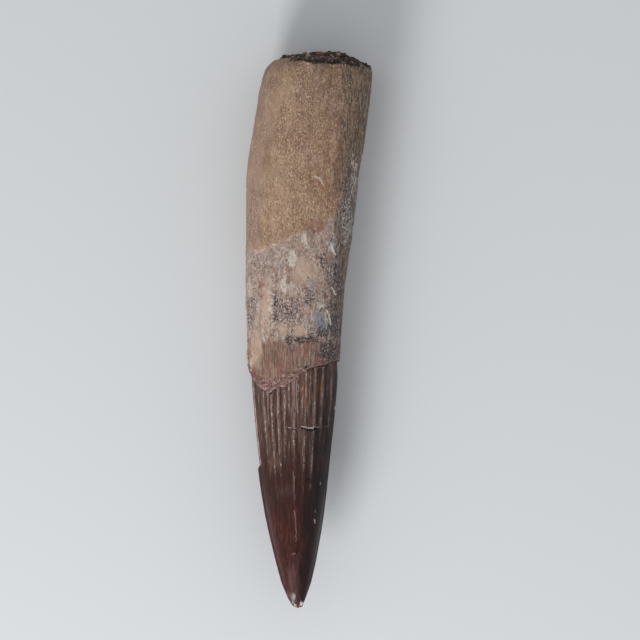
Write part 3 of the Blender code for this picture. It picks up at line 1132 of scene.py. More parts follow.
@dataclass
class Tooth:
    """The whole tooth as one closed mesh.

    Fields:
        form, flutes, keels, tip, tones, band, root, plug: its parts.
        points_round, tip_share: points in a ring, and the share of the crown whose rings have half.
        tip_rings, crown_rings, root_rings: how many rings each stretch has.
        tip_crowd, crown_crowd, root_crowd: where those lie closer, as (where, width, how much denser).
        tip_point: how far the point of the crown stands out from the first ring.
        striae: the enamel's fine lengthwise lines.
        buried, pit_depth: the share of the ridges that crumbs of rust hide, and depth of small pits.
        edge_stray, edge_reach: how far the enamel's edge strays, and what strays with it.
        edge_calm: the share of that which is missing where the edge is a crack.
        rim_stray, rim_reach: the same of the rim.
        flat_height: the lowest that anything may lie, where the tooth rests.
        bare_flank: the share of loose sand that is missing on the dark flank.
    """

    form: ToothForm = ToothForm()
    flutes: Flutes = Flutes()
    keels: Keels = Keels()
    tip: TipChip = TipChip()
    tones: EnamelTones = EnamelTones()
    band: RustBand = RustBand()
    root: RootSurface = RootSurface()
    plug: Plug = Plug()
    points_round: int = 336
    tip_rings: int = 26
    crown_rings: int = 106
    root_rings: int = 140
    tip_crowd: tuple[Size, ...] = ((0.0, 0.3, 1.5),)
    crown_crowd: tuple[Size, ...] = ((0.76, 0.02, 1.4), (1.0, 0.03, 1.6))
    root_crowd: tuple[Size, ...] = ((0.0, 0.04, 1.4), (0.43, 0.04, 0.5), (1.0, 0.02, 1.2))
    tip_share: float = 0.11
    tip_point: float = 0.35
    striae: Noise = Noise((0.3, 5.0), 2, 51, 0.022)
    buried: float = 0.6
    pit_depth: float = 0.25
    edge_stray: Noise = Noise(1.2, 3, 54, 0.45)
    edge_reach: float = 1.3
    edge_calm: float = 0.75
    rim_stray: Noise = Noise(1.1, 3, 55, 0.3)
    rim_reach: float = 1.0
    flat_height: float = 0.0
    bare_flank: float = 0.8

    def rings(self) -> tuple[list[int], Array, Array]:
        """The rings of the side: points in each, and each point's distance from the tip and angle.

        A crown ring lies at one share of the way from the tip to the enamel's edge all round, and a root
        ring at one share of the way from that edge to the rim, so both edges are whole rings.
        """
        tip = self.tip_share * crowded(self.tip_rings + 1, self.tip_crowd)[1:-1]
        crown = self.tip_share + (1.0 - self.tip_share) * crowded(self.crown_rings, self.crown_crowd)
        root = crowded(self.root_rings + 1, self.root_crowd)[1:]
        counts, along, angle = [], [], []
        for shares, count, on_root in (
            (tip, self.points_round // 2, False),
            (crown, self.points_round, False),
            (root, self.points_round, True),
        ):
            turn = np.linspace(0.0, 2.0 * math.pi, count, endpoint=False)
            edge = curve_around(self.form.enamel_edge, turn)
            rim = curve_around(self.form.root_rim, turn)
            at = edge + shares[:, None] * (rim - edge) if on_root else shares[:, None] * edge
            counts += [count] * len(shares)
            along.append(at.ravel())
            angle.append(np.broadcast_to(turn, at.shape).ravel())
        return counts, np.concatenate(along), np.concatenate(angle)

    def side(self, skin: Skin) -> tuple[Array, dict[Mask, Array]]:
        """The finished places of the side's points, and their masks.

        Returns:
            Places in millimetres from the tip, and each mask's value at every point.
        """
        on_crown = 1.0 - skin.on_root
        ridges, crests, hollows = self.flutes.relief(skin)
        gaps, lip_highlights, cut = crossing_cracks(skin)
        crumbs, edge_crack = self.band.mask(skin), self.band.crack(skin)
        ragged = skin.noise(PATCH_NOISE)
        pits = patchwork(skin, PATCHES[Mask.CRACK_AND_SHADOW], PIT_RAGGEDNESS * ragged)
        flakes = [flake.strength(skin) for flake in FLAKES]
        relief = (
            self.form.relief(skin)
            + ridges * (1.0 - self.buried * crumbs)
            + self.keels.relief(skin) * on_crown
            + self.root.relief(skin)
            + self.band.relief(skin)
            + cut * on_crown
            + skin.noise(self.striae, on_crown)
            - self.band.crack_depth * edge_crack
            - self.pit_depth * pits
            + sum(flake.height * strength for flake, strength in zip(FLAKES, flakes))
        )
        places, dentine = self.tip.cut(skin.points + skin.outward * relief[..., None])
        calm = 1.0 - self.edge_calm * self.band.cracked(skin)
        places[..., 1] += skin.noise(self.edge_stray, calm) * bell(skin.past_edge, self.edge_reach)
        places[..., 1] += skin.noise(self.rim_stray) * bell(np.maximum(skin.to_rim, 0.0), self.rim_reach)
        places[..., 2] = np.maximum(places[..., 2], self.flat_height)

        masks = stained(skin, ragged)
        crust = self.root.crust(skin)
        scar = self.keels.scar(skin) * on_crown
        masks |= {
            Mask.CRUST: crust * skin.on_root,
            Mask.GRIT: crust * skin.on_root * self.root.loose_grit(skin),
            Mask.GOLD: np.maximum(self.root.golden(skin), masks[Mask.GOLD]) * crust,
            Mask.FLANK: np.maximum(self.root.dark_flank(skin), masks[Mask.FLANK]),
            Mask.NECK: self.root.neck(skin),
            Mask.RUST: crumbs,
            Mask.GRIME: self.root.rim_grime(skin) * skin.on_root,
            Mask.BASE: rise(skin.along, *self.tones.base) * on_crown,
            # Worn crests, which the enamel's stains also dot with painted glints.
            Mask.CREST_AND_GLINT: crests * rise(skin.along, *self.tones.crests),
            Mask.HOLLOW: hollows,
            # The dark right flank of the crown, partly painted shade.
            Mask.DUSK_AND_SHADE: self.tones.dusk(skin) * on_crown,
            # Chalky patches, and the painted highlight on the cracks' lips.
            Mask.CHALK_AND_HIGHLIGHTS: np.maximum(masks[Mask.CHALK_AND_HIGHLIGHTS], lip_highlights),
            # Cracks and pits, and the painted shadow under the rust band.
            Mask.CRACK_AND_SHADOW: np.max([gaps, edge_crack, pits, self.band.shadow(skin)], axis=0),
            Mask.CHIP: np.max([masks[Mask.CHIP], dentine, scar, *flakes], axis=0),
            Mask.POLISH: fall(skin.along, *self.tones.polish) * on_crown,
        }
        return places, masks

    def build(self) -> tuple[bpy.types.Object, SandBed]:
        """Builds the tooth.

        Returns:
            Its object, and what sand may lie on.
        """
        counts, along, angle = self.rings()
        skin = self.form.skin(along, angle)
        side, masks = self.side(skin)
        plug_rings, middle = self.plug.surface(side[-self.points_round :])
        tip = side[: counts[0]].mean(axis=0) - np.array([0.0, self.tip_point, 0.0])
        places = np.concatenate([tip[None], side, *plug_rings, middle[None]])
        mesh = RingMesh([1, *counts, *self.plug.rings, 1])
        crown_last = self.tip_rings - 1 + self.crown_rings
        side_last = crown_last + self.root_rings
        areas = np.where(mesh.face_ring >= side_last, Area.PLUG.value, Area.ROOT.value)
        areas = np.where(mesh.face_ring < crown_last, Area.ENAMEL.value, areas)
        on_plug = places[1 + len(side) :]
        beyond = {mask: np.zeros(len(on_plug)) for mask in masks}
        beyond[Mask.IRON] = self.plug.browned(on_plug[:, 0])
        attributes = {
            mask.value: np.concatenate([[float(mask is Mask.CHIP)], values, beyond[mask]])
            for mask, values in masks.items()
        }
        uv = Unrolled().texture_places(mesh, places, areas, angle)
        made = mesh.to_object("tooth_surface", to_frame(places), areas, uv, attributes)
        sandy = masks[Mask.GRIT] * (1.0 - self.bare_flank * masks[Mask.FLANK])
        return made, SandBed(side, skin.outward, sandy, np.concatenate(plug_rings))


class RingMesh:
    """Faces between rings that each have as many points as the last, twice as many, or half.

    Fields:
        points: how many there are.
        corners: the point at each corner of each face.
        face_size, face_start, face_ring: how many corners a face has, its first, and its ring.
    """

    def __init__(self, counts: list[int]) -> None:
        """Works out the faces.

        Args:
            counts: points in each ring, 1 for a closing point.
        """
        starts = np.concatenate([[0], np.cumsum(counts)])
        corners, sizes, ring = [], [], []
        for number, (near, far) in enumerate(zip(counts, counts[1:])):
            for faces in self.between(starts[number], near, starts[number + 1], far):
                corners.append(faces.ravel())
                sizes.append(np.full(len(faces), faces.shape[1]))
                ring.append(np.full(len(faces), number))
        self.points = int(starts[-1])
        self.corners = np.concatenate(corners)
        self.face_size = np.concatenate(sizes)
        self.face_ring = np.concatenate(ring)
        self.face_start = np.concatenate([[0], np.cumsum(self.face_size)[:-1]])

    @staticmethod
    def between(first: int, near: int, second: int, far: int) -> list[Array]:
        """Faces from a ring of `near` points to the next of `far`, all facing outwards."""
        a, b = first + np.arange(near), second + np.arange(far)
        a_next, b_next = np.roll(a, -1), np.roll(b, -1)
        if near == far:
            return [np.stack([a, b, b_next, a_next], axis=-1)]
        if near == 1:
            return [np.stack([np.full(far, first), b, b_next], axis=-1)]
        if far == 1:
            return [np.stack([a, np.full(near, second), a_next], axis=-1)]
        if far == 2 * near:
            even, odd, even_next = b[::2], b[1::2], b_next[1::2]
            return [
                np.stack([a, even, odd], axis=-1),
                np.stack([a, odd, a_next], axis=-1),
                np.stack([a_next, odd, even_next], axis=-1),
            ]
        if near == 2 * far:
            even, odd, even_next = a[::2], a[1::2], a_next[1::2]
            return [
                np.stack([even, b, odd], axis=-1),
                np.stack([odd, b, b_next], axis=-1),
                np.stack([odd, b_next, even_next], axis=-1),
            ]
        raise ValueError(f"a ring of {near} points can't meet one of {far}")

    def to_object(
        self, name: str, places: Array, areas: Array, uv: Array, attributes: dict[str, Array]
    ) -> bpy.types.Object:
        """Makes an object of the faces.

        Args:
            name: of the object and its mesh.
            places: of its points, in metres.
            areas: each face's material slot.
            uv: each corner's place on the texture.
            attributes: each point's values, by name.

        Returns:
            The object.
        """
        if len(places) != self.points:
            raise ValueError(f"the rings hold {self.points} points, and there are {len(places)} places")
        mesh = bpy.data.meshes.new(name)
        mesh.vertices.add(len(places))
        mesh.vertices.foreach_set("co", places.astype(np.float32).ravel())
        mesh.loops.add(len(self.corners))
        mesh.loops.foreach_set("vertex_index", self.corners.astype(np.int32))
        mesh.polygons.add(len(self.face_start))
        mesh.polygons.foreach_set("loop_start", self.face_start.astype(np.int32))
        mesh.update(calc_edges=True)
        mesh.polygons.foreach_set("material_index", areas.astype(np.int32))
        mesh.uv_layers.new(name="OFBake").uv.foreach_set("vector", uv.astype(np.float32).ravel())
        for title, values in attributes.items():
            add_values(mesh, title, values)
        mesh.shade_smooth()
        mesh.validate()
        return add_object(name, mesh)


def add_values(mesh: bpy.types.Mesh, title: str, values: Array) -> None:
    """Gives a mesh an attribute with one value for each point."""
    mesh.attributes.new(title, "FLOAT", "POINT").data.foreach_set("value", values.astype(np.float32))


def add_object(name: str, data: bpy.types.ID) -> bpy.types.Object:
    """Makes an object and puts it into the scene."""
    made = bpy.data.objects.new(name, data)
    bpy.context.scene.collection.objects.link(made)
    return made


@dataclass(frozen=True)
class Unrolled:
    """The layout of the texture: the tooth's side unrolled below, and the plug seen end-on above it.

    Fields:
        side_height, margin: the share of its height that the side takes, and how much more it may.
        plug_at, plug_middle: where on it the plug lies, and the plug's place there, as (across, up).
        plug_scale: the share of it for each millimetre of the plug.
    """

    side_height: float = 0.85
    margin: float = 0.01
    plug_at: Pair = (0.5, 0.87)
    plug_middle: Pair = (2.0, 0.0)
    plug_scale: float = 0.0064

    def texture_places(self, mesh: RingMesh, places: Array, areas: Array, angle: Array) -> Array:
        """The texture place of every face corner.

        On the side they are shares of a turn and of the tooth's length; on the plug, across and up.

        Args:
            mesh: the tooth's faces.
            places: of its points, in millimetres.
            areas: each face's material slot.
            angle: of the side's points, which come after the tip's.

        Returns:
            Each corner's (u, v).
        """
        turn = np.zeros(len(places))
        turn[1 : 1 + len(angle)] = angle / (2.0 * math.pi)
        corner = mesh.corners
        area = np.repeat(areas, mesh.face_size)
        low = np.repeat(np.minimum.reduceat(turn[corner], mesh.face_start), mesh.face_size)
        high = np.repeat(np.maximum.reduceat(turn[corner], mesh.face_start), mesh.face_size)
        u = turn[corner] + ((high - low > 0.5) & (turn[corner] < 0.5))
        u = np.where(corner == 0, high, u)
        v = places[corner, 1] / float(places[:, 1].max()) * self.side_height
        side = np.stack([u, np.clip(v, 0.0, self.side_height + self.margin)], axis=-1)
        flat = places[corner][:, [0, 2]]
        end = np.array(self.plug_at) + (flat - np.array(self.plug_middle)) * self.plug_scale
        return np.where((area == Area.PLUG.value)[:, None], end, side)


# ---- Sand grains ----


@dataclass(frozen=True)
class NotedGrain:
    """A grain that stands out: its place across and along the tooth, its diameter and its tint."""

    across: float
    along: float
    diameter: float
    tint: float


@dataclass(frozen=True)
class SandGrains:
    """Quartz grains sunk in the plug and in the root's crust, joined in one mesh.

    Fields:
        on_plug, on_crust: how many there are.
        plug_size, crust_size: smallest and largest diameter.
        plug_fineness: the power that makes small ones common.
        plug_tint, plug_tint_power: the highest tint, and the power that makes dark ones common.
        crust_tint: the lowest tint of the crust's grains, and by how much they vary.
        sunk, noted_sunk: how deep a grain's middle lies, as a share of its radius.
        end_on, raised: the directions in which grains of the plug and noted grains stand out.
        noted: the grains of the break that catch the eye.
        stretch: least and most that a grain is stretched along each axis.
        lumpiness, lump_size: how much lumps change its radius, and their size in radii.
        lowest: the lowest that a grain may lie.
        TINT: the attribute that holds each grain's tint.
        GRAINS_SEED, LUMP_SEED, LUMP_STEP: seeds, and how far apart grains lie in the lumps' noise.
    """

    TINT = "tint"
    GRAINS_SEED = 1
    LUMP_SEED = 61
    LUMP_STEP = 9.0

    on_plug: int = 620
    on_crust: int = 560
    plug_size: Pair = (0.35, 1.0)
    crust_size: Pair = (0.16, 0.34)
    plug_fineness: float = 2.6
    plug_tint: float = 0.55
    plug_tint_power: float = 1.7
    crust_tint: Pair = (0.76, 0.16)
    sunk: float = 0.25
    noted_sunk: float = -0.35
    end_on: Size = (0.0, 1.0, 0.0)
    raised: Size = (0.0, 0.7, 0.7)
    stretch: Pair = (0.78, 1.12)
    lumpiness: float = 0.16
    lump_size: float = 0.9
    lowest: float = 0.02
    noted: tuple[NotedGrain, ...] = (
        NotedGrain(0.0, 115.5, 1.15, 0.68),
        NotedGrain(6.3, 116.0, 1.2, 0.52),
        NotedGrain(2.6, 116.1, 1.3, 0.34),
        NotedGrain(3.8, 115.3, 0.8, 0.97),
        NotedGrain(5.2, 115.5, 0.6, 0.95),
    )

    @staticmethod
    def ball() -> tuple[Array, Array]:
        """A ball of 80 triangles: an icosahedron with every face split in four, its points at radius 1."""
        mesh = bmesh.new()
        bmesh.ops.create_icosphere(mesh, subdivisions=2, radius=1.0)
        points = np.array([vertex.co for vertex in mesh.verts])
        faces = np.array([[vertex.index for vertex in face.verts] for face in mesh.faces])
        mesh.free()
        return points, faces

    def lay(self, rng: np.random.Generator, bed: SandBed) -> tuple[Array, Array]:
        """Where grains lie: those of the plug, those of the crust, and the noted ones.

        Args:
            rng: source of randomness.
            bed: what they lie on.

        Returns:
            Places on the surface, and the directions in which the grains stand out.
        """
        on_plug = rng.choice(len(bed.plug), self.on_plug, replace=False)
        weight = bed.sandy**2
        on_crust = rng.choice(len(bed.side), self.on_crust, replace=False, p=weight / weight.sum())
        noted = [
            np.hypot(bed.plug[:, 0] - grain.across, bed.plug[:, 1] - grain.along).argmin()
            for grain in self.noted
        ]
        places = np.concatenate([bed.plug[on_plug], bed.side[on_crust], bed.plug[noted]])
        end_on, raised = np.tile(self.end_on, (self.on_plug, 1)), np.tile(self.raised, (len(noted), 1))
        return places, np.concatenate([end_on, bed.outward[on_crust], raised])

    def sort(self, rng: np.random.Generator) -> tuple[Array, Array]:
        """Each grain's radius and tint, in the same order."""
        small, large = self.plug_size
        on_plug = small + (large - small) * rng.random(self.on_plug) ** self.plug_fineness
        on_crust = rng.uniform(*self.crust_size, self.on_crust)
        radii = np.concatenate([on_plug, on_crust, [grain.diameter for grain in self.noted]]) / 2.0
        low, spread = self.crust_tint
        on_plug = self.plug_tint * rng.random(self.on_plug) ** self.plug_tint_power
        on_crust = low + spread * rng.random(self.on_crust)
        return radii, np.concatenate([on_plug, on_crust, [grain.tint for grain in self.noted]])

    @staticmethod
    def turns(rng: np.random.Generator, count: int) -> Array:
        """Random rotations, from random unit quaternions."""
        quaternions = rng.normal(size=(4, count))
        w, x, y, z = quaternions / np.linalg.norm(quaternions, axis=0)
        rows = [
            [1 - 2 * (y * y + z * z), 2 * (x * y - z * w), 2 * (x * z + y * w)],
            [2 * (x * y + z * w), 1 - 2 * (x * x + z * z), 2 * (y * z - x * w)],
            [2 * (x * z - y * w), 2 * (y * z + x * w), 1 - 2 * (x * x + y * y)],
        ]
        return np.array(rows).transpose(2, 0, 1)

    def build(self, bed: SandBed) -> bpy.types.Object:
        """Builds the grains: a stretched, lumpy and turned ball for each.

        Args:
            bed: what they lie on.

        Returns:
            The grains' object.
        """
        rng = np.random.default_rng(SEED + self.GRAINS_SEED)
        places, directions = self.lay(rng, bed)
        radii, tints = self.sort(rng)
        points, faces = self.ball()
        count = len(places)
        number = np.arange(count)
        sunk = np.where(number < count - len(self.noted), self.sunk, self.noted_sunk)
        shape = points[None] * rng.uniform(*self.stretch, (count, 1, 3))
        apart = points[None] + self.LUMP_STEP * number[:, None, None]
        lumps = smooth_noise(apart, self.lump_size, SEED + self.LUMP_SEED)
        shape = shape * (1.0 + self.lumpiness * lumps[..., None]) * radii[:, None, None]
        turned = np.einsum("gij,gpj->gpi", self.turns(rng, count), shape)
        centres = places - directions * (radii * sunk)[:, None]
        grains = turned + centres[:, None]
        grains[..., 2] = np.maximum(grains[..., 2], self.lowest)
        corners = (faces[None] + len(points) * number[:, None, None]).reshape(-1, 3)
        mesh = bpy.data.meshes.new("sand_grains")
        mesh.from_pydata(to_frame(grains.reshape(-1, 3)).tolist(), [], corners.tolist())
        add_values(mesh, self.TINT, np.repeat(tints, len(points)))
        mesh.shade_smooth()
        return add_object("sand_grains", mesh)


# ---- Finishes ----


Socket = bpy.types.NodeSocket
Tones = tuple[tuple[float, str], ...]


def linear(colour: str) -> tuple[float, float, float, float]:
    """An sRGB hex colour as linear red, green, blue and full alpha, by the sRGB standard's formula."""
    channels = [int(colour[place : place + 2], 16) / 255.0 for place in (1, 3, 5)]
    red, green, blue = (c / 12.92 if c <= 0.04045 else ((c + 0.055) / 1.055) ** 2.4 for c in channels)
    return red, green, blue, 1.0


def add_node(
    tree: bpy.types.NodeTree, kind: str, inputs: dict | None = None, **settings: object
) -> bpy.types.Node:
    """Adds a node with its settings and links.

    Args:
        tree: the material's nodes.
        kind: the node's type, without "ShaderNode" in front.
        inputs: a value or another node's output for each input, by its name or number.
        settings: the node's own settings, by name.

    Returns:
        The node.
    """
    node = tree.nodes.new("ShaderNode" + kind)
    for name, value in settings.items():
        setattr(node, name, value)
    for socket, value in (inputs or {}).items():
        if isinstance(value, bpy.types.NodeSocket):
            tree.links.new(value, node.inputs[socket])
        else:
            node.inputs[socket].default_value = value
    return node


@dataclass(frozen=True)
class Stain:
    """A colour that covers part of the surface, more of it where its mask is higher.

    Fields:
        mask: where it lies, or None for everywhere.
        colour: in sRGB hex.
        size: of its flecks, in millimetres.
        cover: the share of the surface that it covers where the mask is 1.
        strength: how far it hides what is under it.
        softness: width of its edges, as a share of the noise's range.
        detail: how many finer layers its noise has.
    """

    mask: Mask | None
    colour: str
    size: Lumps
    cover: float = 0.5
    strength: float = 0.8
    softness: float = 0.12
    detail: float = 2.0


def stains(mask: Mask | None, *rows: tuple) -> tuple[Stain, ...]:
    """Stains of one mask, from the other values of each."""
    return tuple(Stain(mask, *row) for row in rows)


@dataclass(frozen=True)
class Bump:
    """Fine relief: the size of its noise, its height in millimetres, and how many finer layers it has."""

    size: Lumps
    height: float
    detail: float = 2.0


@dataclass(frozen=True)
class Stroke:
    """A thin mark on the upper side: its colour, its line as (across, along) points and half its width.

    It is whole up to INNER and gone at OUTER times its half width from the line.
    """

    INNER = 0.7
    OUTER = 1.3

    colour: str
    points: Curve
    half_width: float
    strength: float = 0.9


class Recipe:
    """Builds one material's nodes, layer by layer.

    Fields:
        material, tree, shader: what it builds, its nodes and its shader.
        place: the point that is shaded, in millimetres from the tip.
        colour, heights: the colour that the layers give so far, and the bumps, in metres.
        NOISE_ROUGHNESS: how strong each finer layer of noise is beside the last.
        NOISE_RANGE: how far noise must be lifted to cover all instead of nothing.
        MASK_EDGE: the values of a mask at which its stain begins to show, and is whole.
        WOBBLE, WOBBLE_SIZE: how far strokes stray, and over what length.
        TOP_SIDE: heights between which strokes begin to show.
    """

    NOISE_ROUGHNESS = 0.55
    NOISE_RANGE = 0.42
    MASK_EDGE = (0.02, 0.15)
    WOBBLE = 0.5
    WOBBLE_SIZE = 0.7
    TOP_SIDE = (8.0, 10.0)

    def __init__(self, name: str, colour: str) -> None:
        """Starts a material of one colour.

        Args:
            name: of the material.
            colour: its first colour, in sRGB hex.
        """
        self.material = bpy.data.materials.new(name)
        self.material.use_nodes = True
        self.tree = self.material.node_tree
        self.shader = self.tree.nodes["Principled BSDF"]
        metres = add_node(self.tree, "TexCoord").outputs["Object"]
        millimetres = self.vector("MULTIPLY", metres, (1.0 / MM,) * 3)
        self.place = self.vector("ADD", millimetres, (FOOTPRINT_ACROSS, FOOTPRINT_ALONG, 0.0))
        self.colour: Socket | tuple = linear(colour)
        self.heights: list[Socket] = []

    def math(self, operation: str, *values: Socket | float, clamp: bool = False) -> Socket:
        """One step of arithmetic."""
        inputs = dict(enumerate(values))
        return add_node(self.tree, "Math", inputs, operation=operation, use_clamp=clamp).outputs[0]

    def vector(self, operation: str, *values: Socket | Size) -> Socket:
        """One step of vector arithmetic."""
        node = add_node(self.tree, "VectorMath", dict(enumerate(values)), operation=operation)
        return node.outputs["Value" if operation in ("DOT_PRODUCT", "LENGTH") else "Vector"]

    def between(self, value: Socket, low: float, high: float, most: float = 1.0) -> Socket:
        """0 where a value is below low, `most` above high, and a straight rise between."""
        limits = {"Value": value, "From Min": low, "From Max": high, "To Max": most}
        return add_node(self.tree, "MapRange", limits).outputs[0]

    def mask(self, mask: Mask) -> Socket:
        """A mask of the mesh."""
        return add_node(self.tree, "Attribute", attribute_name=mask.value).outputs["Fac"]

    def noise(self, size: Lumps, detail: float = 2.0, output: str = "Fac") -> Socket:
        """Fractal noise of a real size, in millimetres, from 0 to 1."""
        across, along = both_ways(size)
        scaled = self.vector("MULTIPLY", self.place, (1.0 / across, 1.0 / along, 1.0 / across))
        settings = {"Vector": scaled, "Scale": 1.0, "Detail": detail, "Roughness": self.NOISE_ROUGHNESS}
        return add_node(self.tree, "TexNoise", settings).outputs[output]

    def cells(self, size: float) -> tuple[Socket, Socket]:
        """Random cells of a real size, in millimetres: each cell's random number, and the distance to it."""
        cell = add_node(self.tree, "TexVoronoi", {"Vector": self.place, "Scale": 1.0 / size})
        chance = add_node(self.tree, "SeparateColor", {0: cell.outputs["Color"]}).outputs[0]
        return chance, cell.outputs["Distance"]

    def tones(self, value: Socket, tones: Tones) -> Socket:
        """A colour for each value, blended between (value, sRGB hex) pairs."""
        ramp = add_node(self.tree, "ValToRGB", {0: value})
        for place, _ in tones[1:-1]:
            ramp.color_ramp.elements.new(place)
        for element, (place, colour) in zip(ramp.color_ramp.elements, tones):
            element.position = place
            element.color = linear(colour)
        return ramp.outputs[0]

    def cover(self, amount: Socket, colour: str | Socket) -> None:
        """Lays a colour over what is there, by an amount from 0 to 1."""
        over = linear(colour) if isinstance(colour, str) else colour
        inputs = {0: amount, 6: self.colour, 7: over}
        self.colour = add_node(self.tree, "Mix", inputs, data_type="RGBA").outputs[2]

    def amount(self, stain: Stain) -> Socket:
        """How much a stain covers each point.

        It covers where noise + NOISE_RANGE x (cover x mask - 1/2) exceeds one half.
        """
        noise = self.noise(stain.size, stain.detail)
        mask = 1.0 if stain.mask is None else self.mask(stain.mask)
        lifted = self.math("MULTIPLY_ADD", mask, self.NOISE_RANGE * stain.cover, noise)
        cut = 0.5 + self.NOISE_RANGE / 2.0
        half = stain.softness / 2.0
        amount = self.between(lifted, cut - half, cut + half, stain.strength)
        if stain.mask is None:
            return amount
        return self.math("MULTIPLY", amount, self.between(mask, *self.MASK_EDGE))

    def stain(self, *stains: Stain) -> None:
        """Lays stains one over another."""
        for stain in stains:
            self.cover(self.amount(stain), stain.colour)

    def strokes(self, *strokes: Stroke) -> None:
        """Draws strokes on the upper side, a little unsteady and sharper than any mask."""
        stray = self.noise(self.WOBBLE_SIZE, output="Color")
        stray = self.vector("MULTIPLY_ADD", stray, (self.WOBBLE,) * 3, (-self.WOBBLE / 2.0,) * 3)
        flat = self.vector("MULTIPLY", self.vector("ADD", self.place, stray), (1.0, 1.0, 0.0))
        height = add_node(self.tree, "SeparateXYZ", {0: self.place}).outputs["Z"]
        on_top = self.between(height, *self.TOP_SIDE)
        for stroke in strokes:
            outer = stroke.OUTER * stroke.half_width
            edge = (stroke.OUTER - stroke.INNER) * stroke.half_width
            near = self.between(self.math("SUBTRACT", outer, self.distance(flat, stroke)), 0.0, edge)
            strength = self.math("MULTIPLY", on_top, stroke.strength)
            self.cover(self.math("MULTIPLY", near, strength), stroke.colour)

    def distance(self, flat: Socket, stroke: Stroke) -> Socket:
        """Distance from a point seen from above to the nearest of a stroke's straight pieces."""
        nearest = None
        for first, last in zip(stroke.points, stroke.points[1:]):
            run = np.array([*last, 0.0]) - np.array([*first, 0.0])
            offset = self.vector("SUBTRACT", flat, (*first, 0.0))
            share = self.vector("DOT_PRODUCT", offset, tuple(run / (run @ run)))
            share = self.math("ADD", share, 0.0, clamp=True)
            scaled = add_node(self.tree, "VectorMath", {0: tuple(run), "Scale": share}, operation="SCALE")
            away = self.vector("LENGTH", self.vector("SUBTRACT", offset, scaled.outputs[0]))
            nearest = away if nearest is None else self.math("MINIMUM", nearest, away)
        return nearest

    def raise_by(self, height: Socket, millimetres: float) -> None:
        """Adds a bump of that height, in millimetres, where the value is 1."""
        self.heights.append(self.math("MULTIPLY", height, millimetres * MM))

    def bump(self, bump: Bump, weight: Socket | None = None) -> None:
        """Adds a bump all over, or by a weight."""
        noise = self.noise(bump.size, bump.detail)
        self.raise_by(noise if weight is None else self.math("MULTIPLY", noise, weight), bump.height)

    def finish(self, roughness: Socket | float) -> bpy.types.Material:
        """Joins colour, roughness and bumps to the shader.

        Args:
            roughness: one value, or a node's output.

        Returns:
            The material.
        """
        self.tree.links.new(self.colour, self.shader.inputs["Base Color"])
        if isinstance(roughness, Socket):
            self.tree.links.new(roughness, self.shader.inputs["Roughness"])
        else:
            self.shader.inputs["Roughness"].default_value = roughness
        total = self.heights[0]
        for height in self.heights[1:]:
            total = self.math("ADD", total, height)
        bump = add_node(self.tree, "Bump", {"Height": total, "Distance": 1.0, "Strength": 1.0})
        self.tree.links.new(bump.outputs[0], self.shader.inputs["Normal"])
        return self.material


# Rust and iron-cemented sand, crumbled along the edge of the enamel: matt red-brown clods with paler
# grains of sand and black gaps between them, the same wherever the band lies.
CRUMBLY_RUST = (
    Stain(Mask.RUST, "#755650", 0.8, 0.95, 0.85, 0.2),
    Stain(Mask.RUST, "#8e7465", (1.3, 1.0), 0.42, 0.7, 0.2),
    Stain(Mask.RUST, "#7c4a42", (0.9, 0.7), 0.3, 0.6, 0.2),
    Stain(Mask.RUST, "#c4a394", 0.34, 0.27, 0.8, 0.08),
    Stain(Mask.RUST, "#38241f", (0.4, 0.35), 0.36, 0.8, 0.08),
)


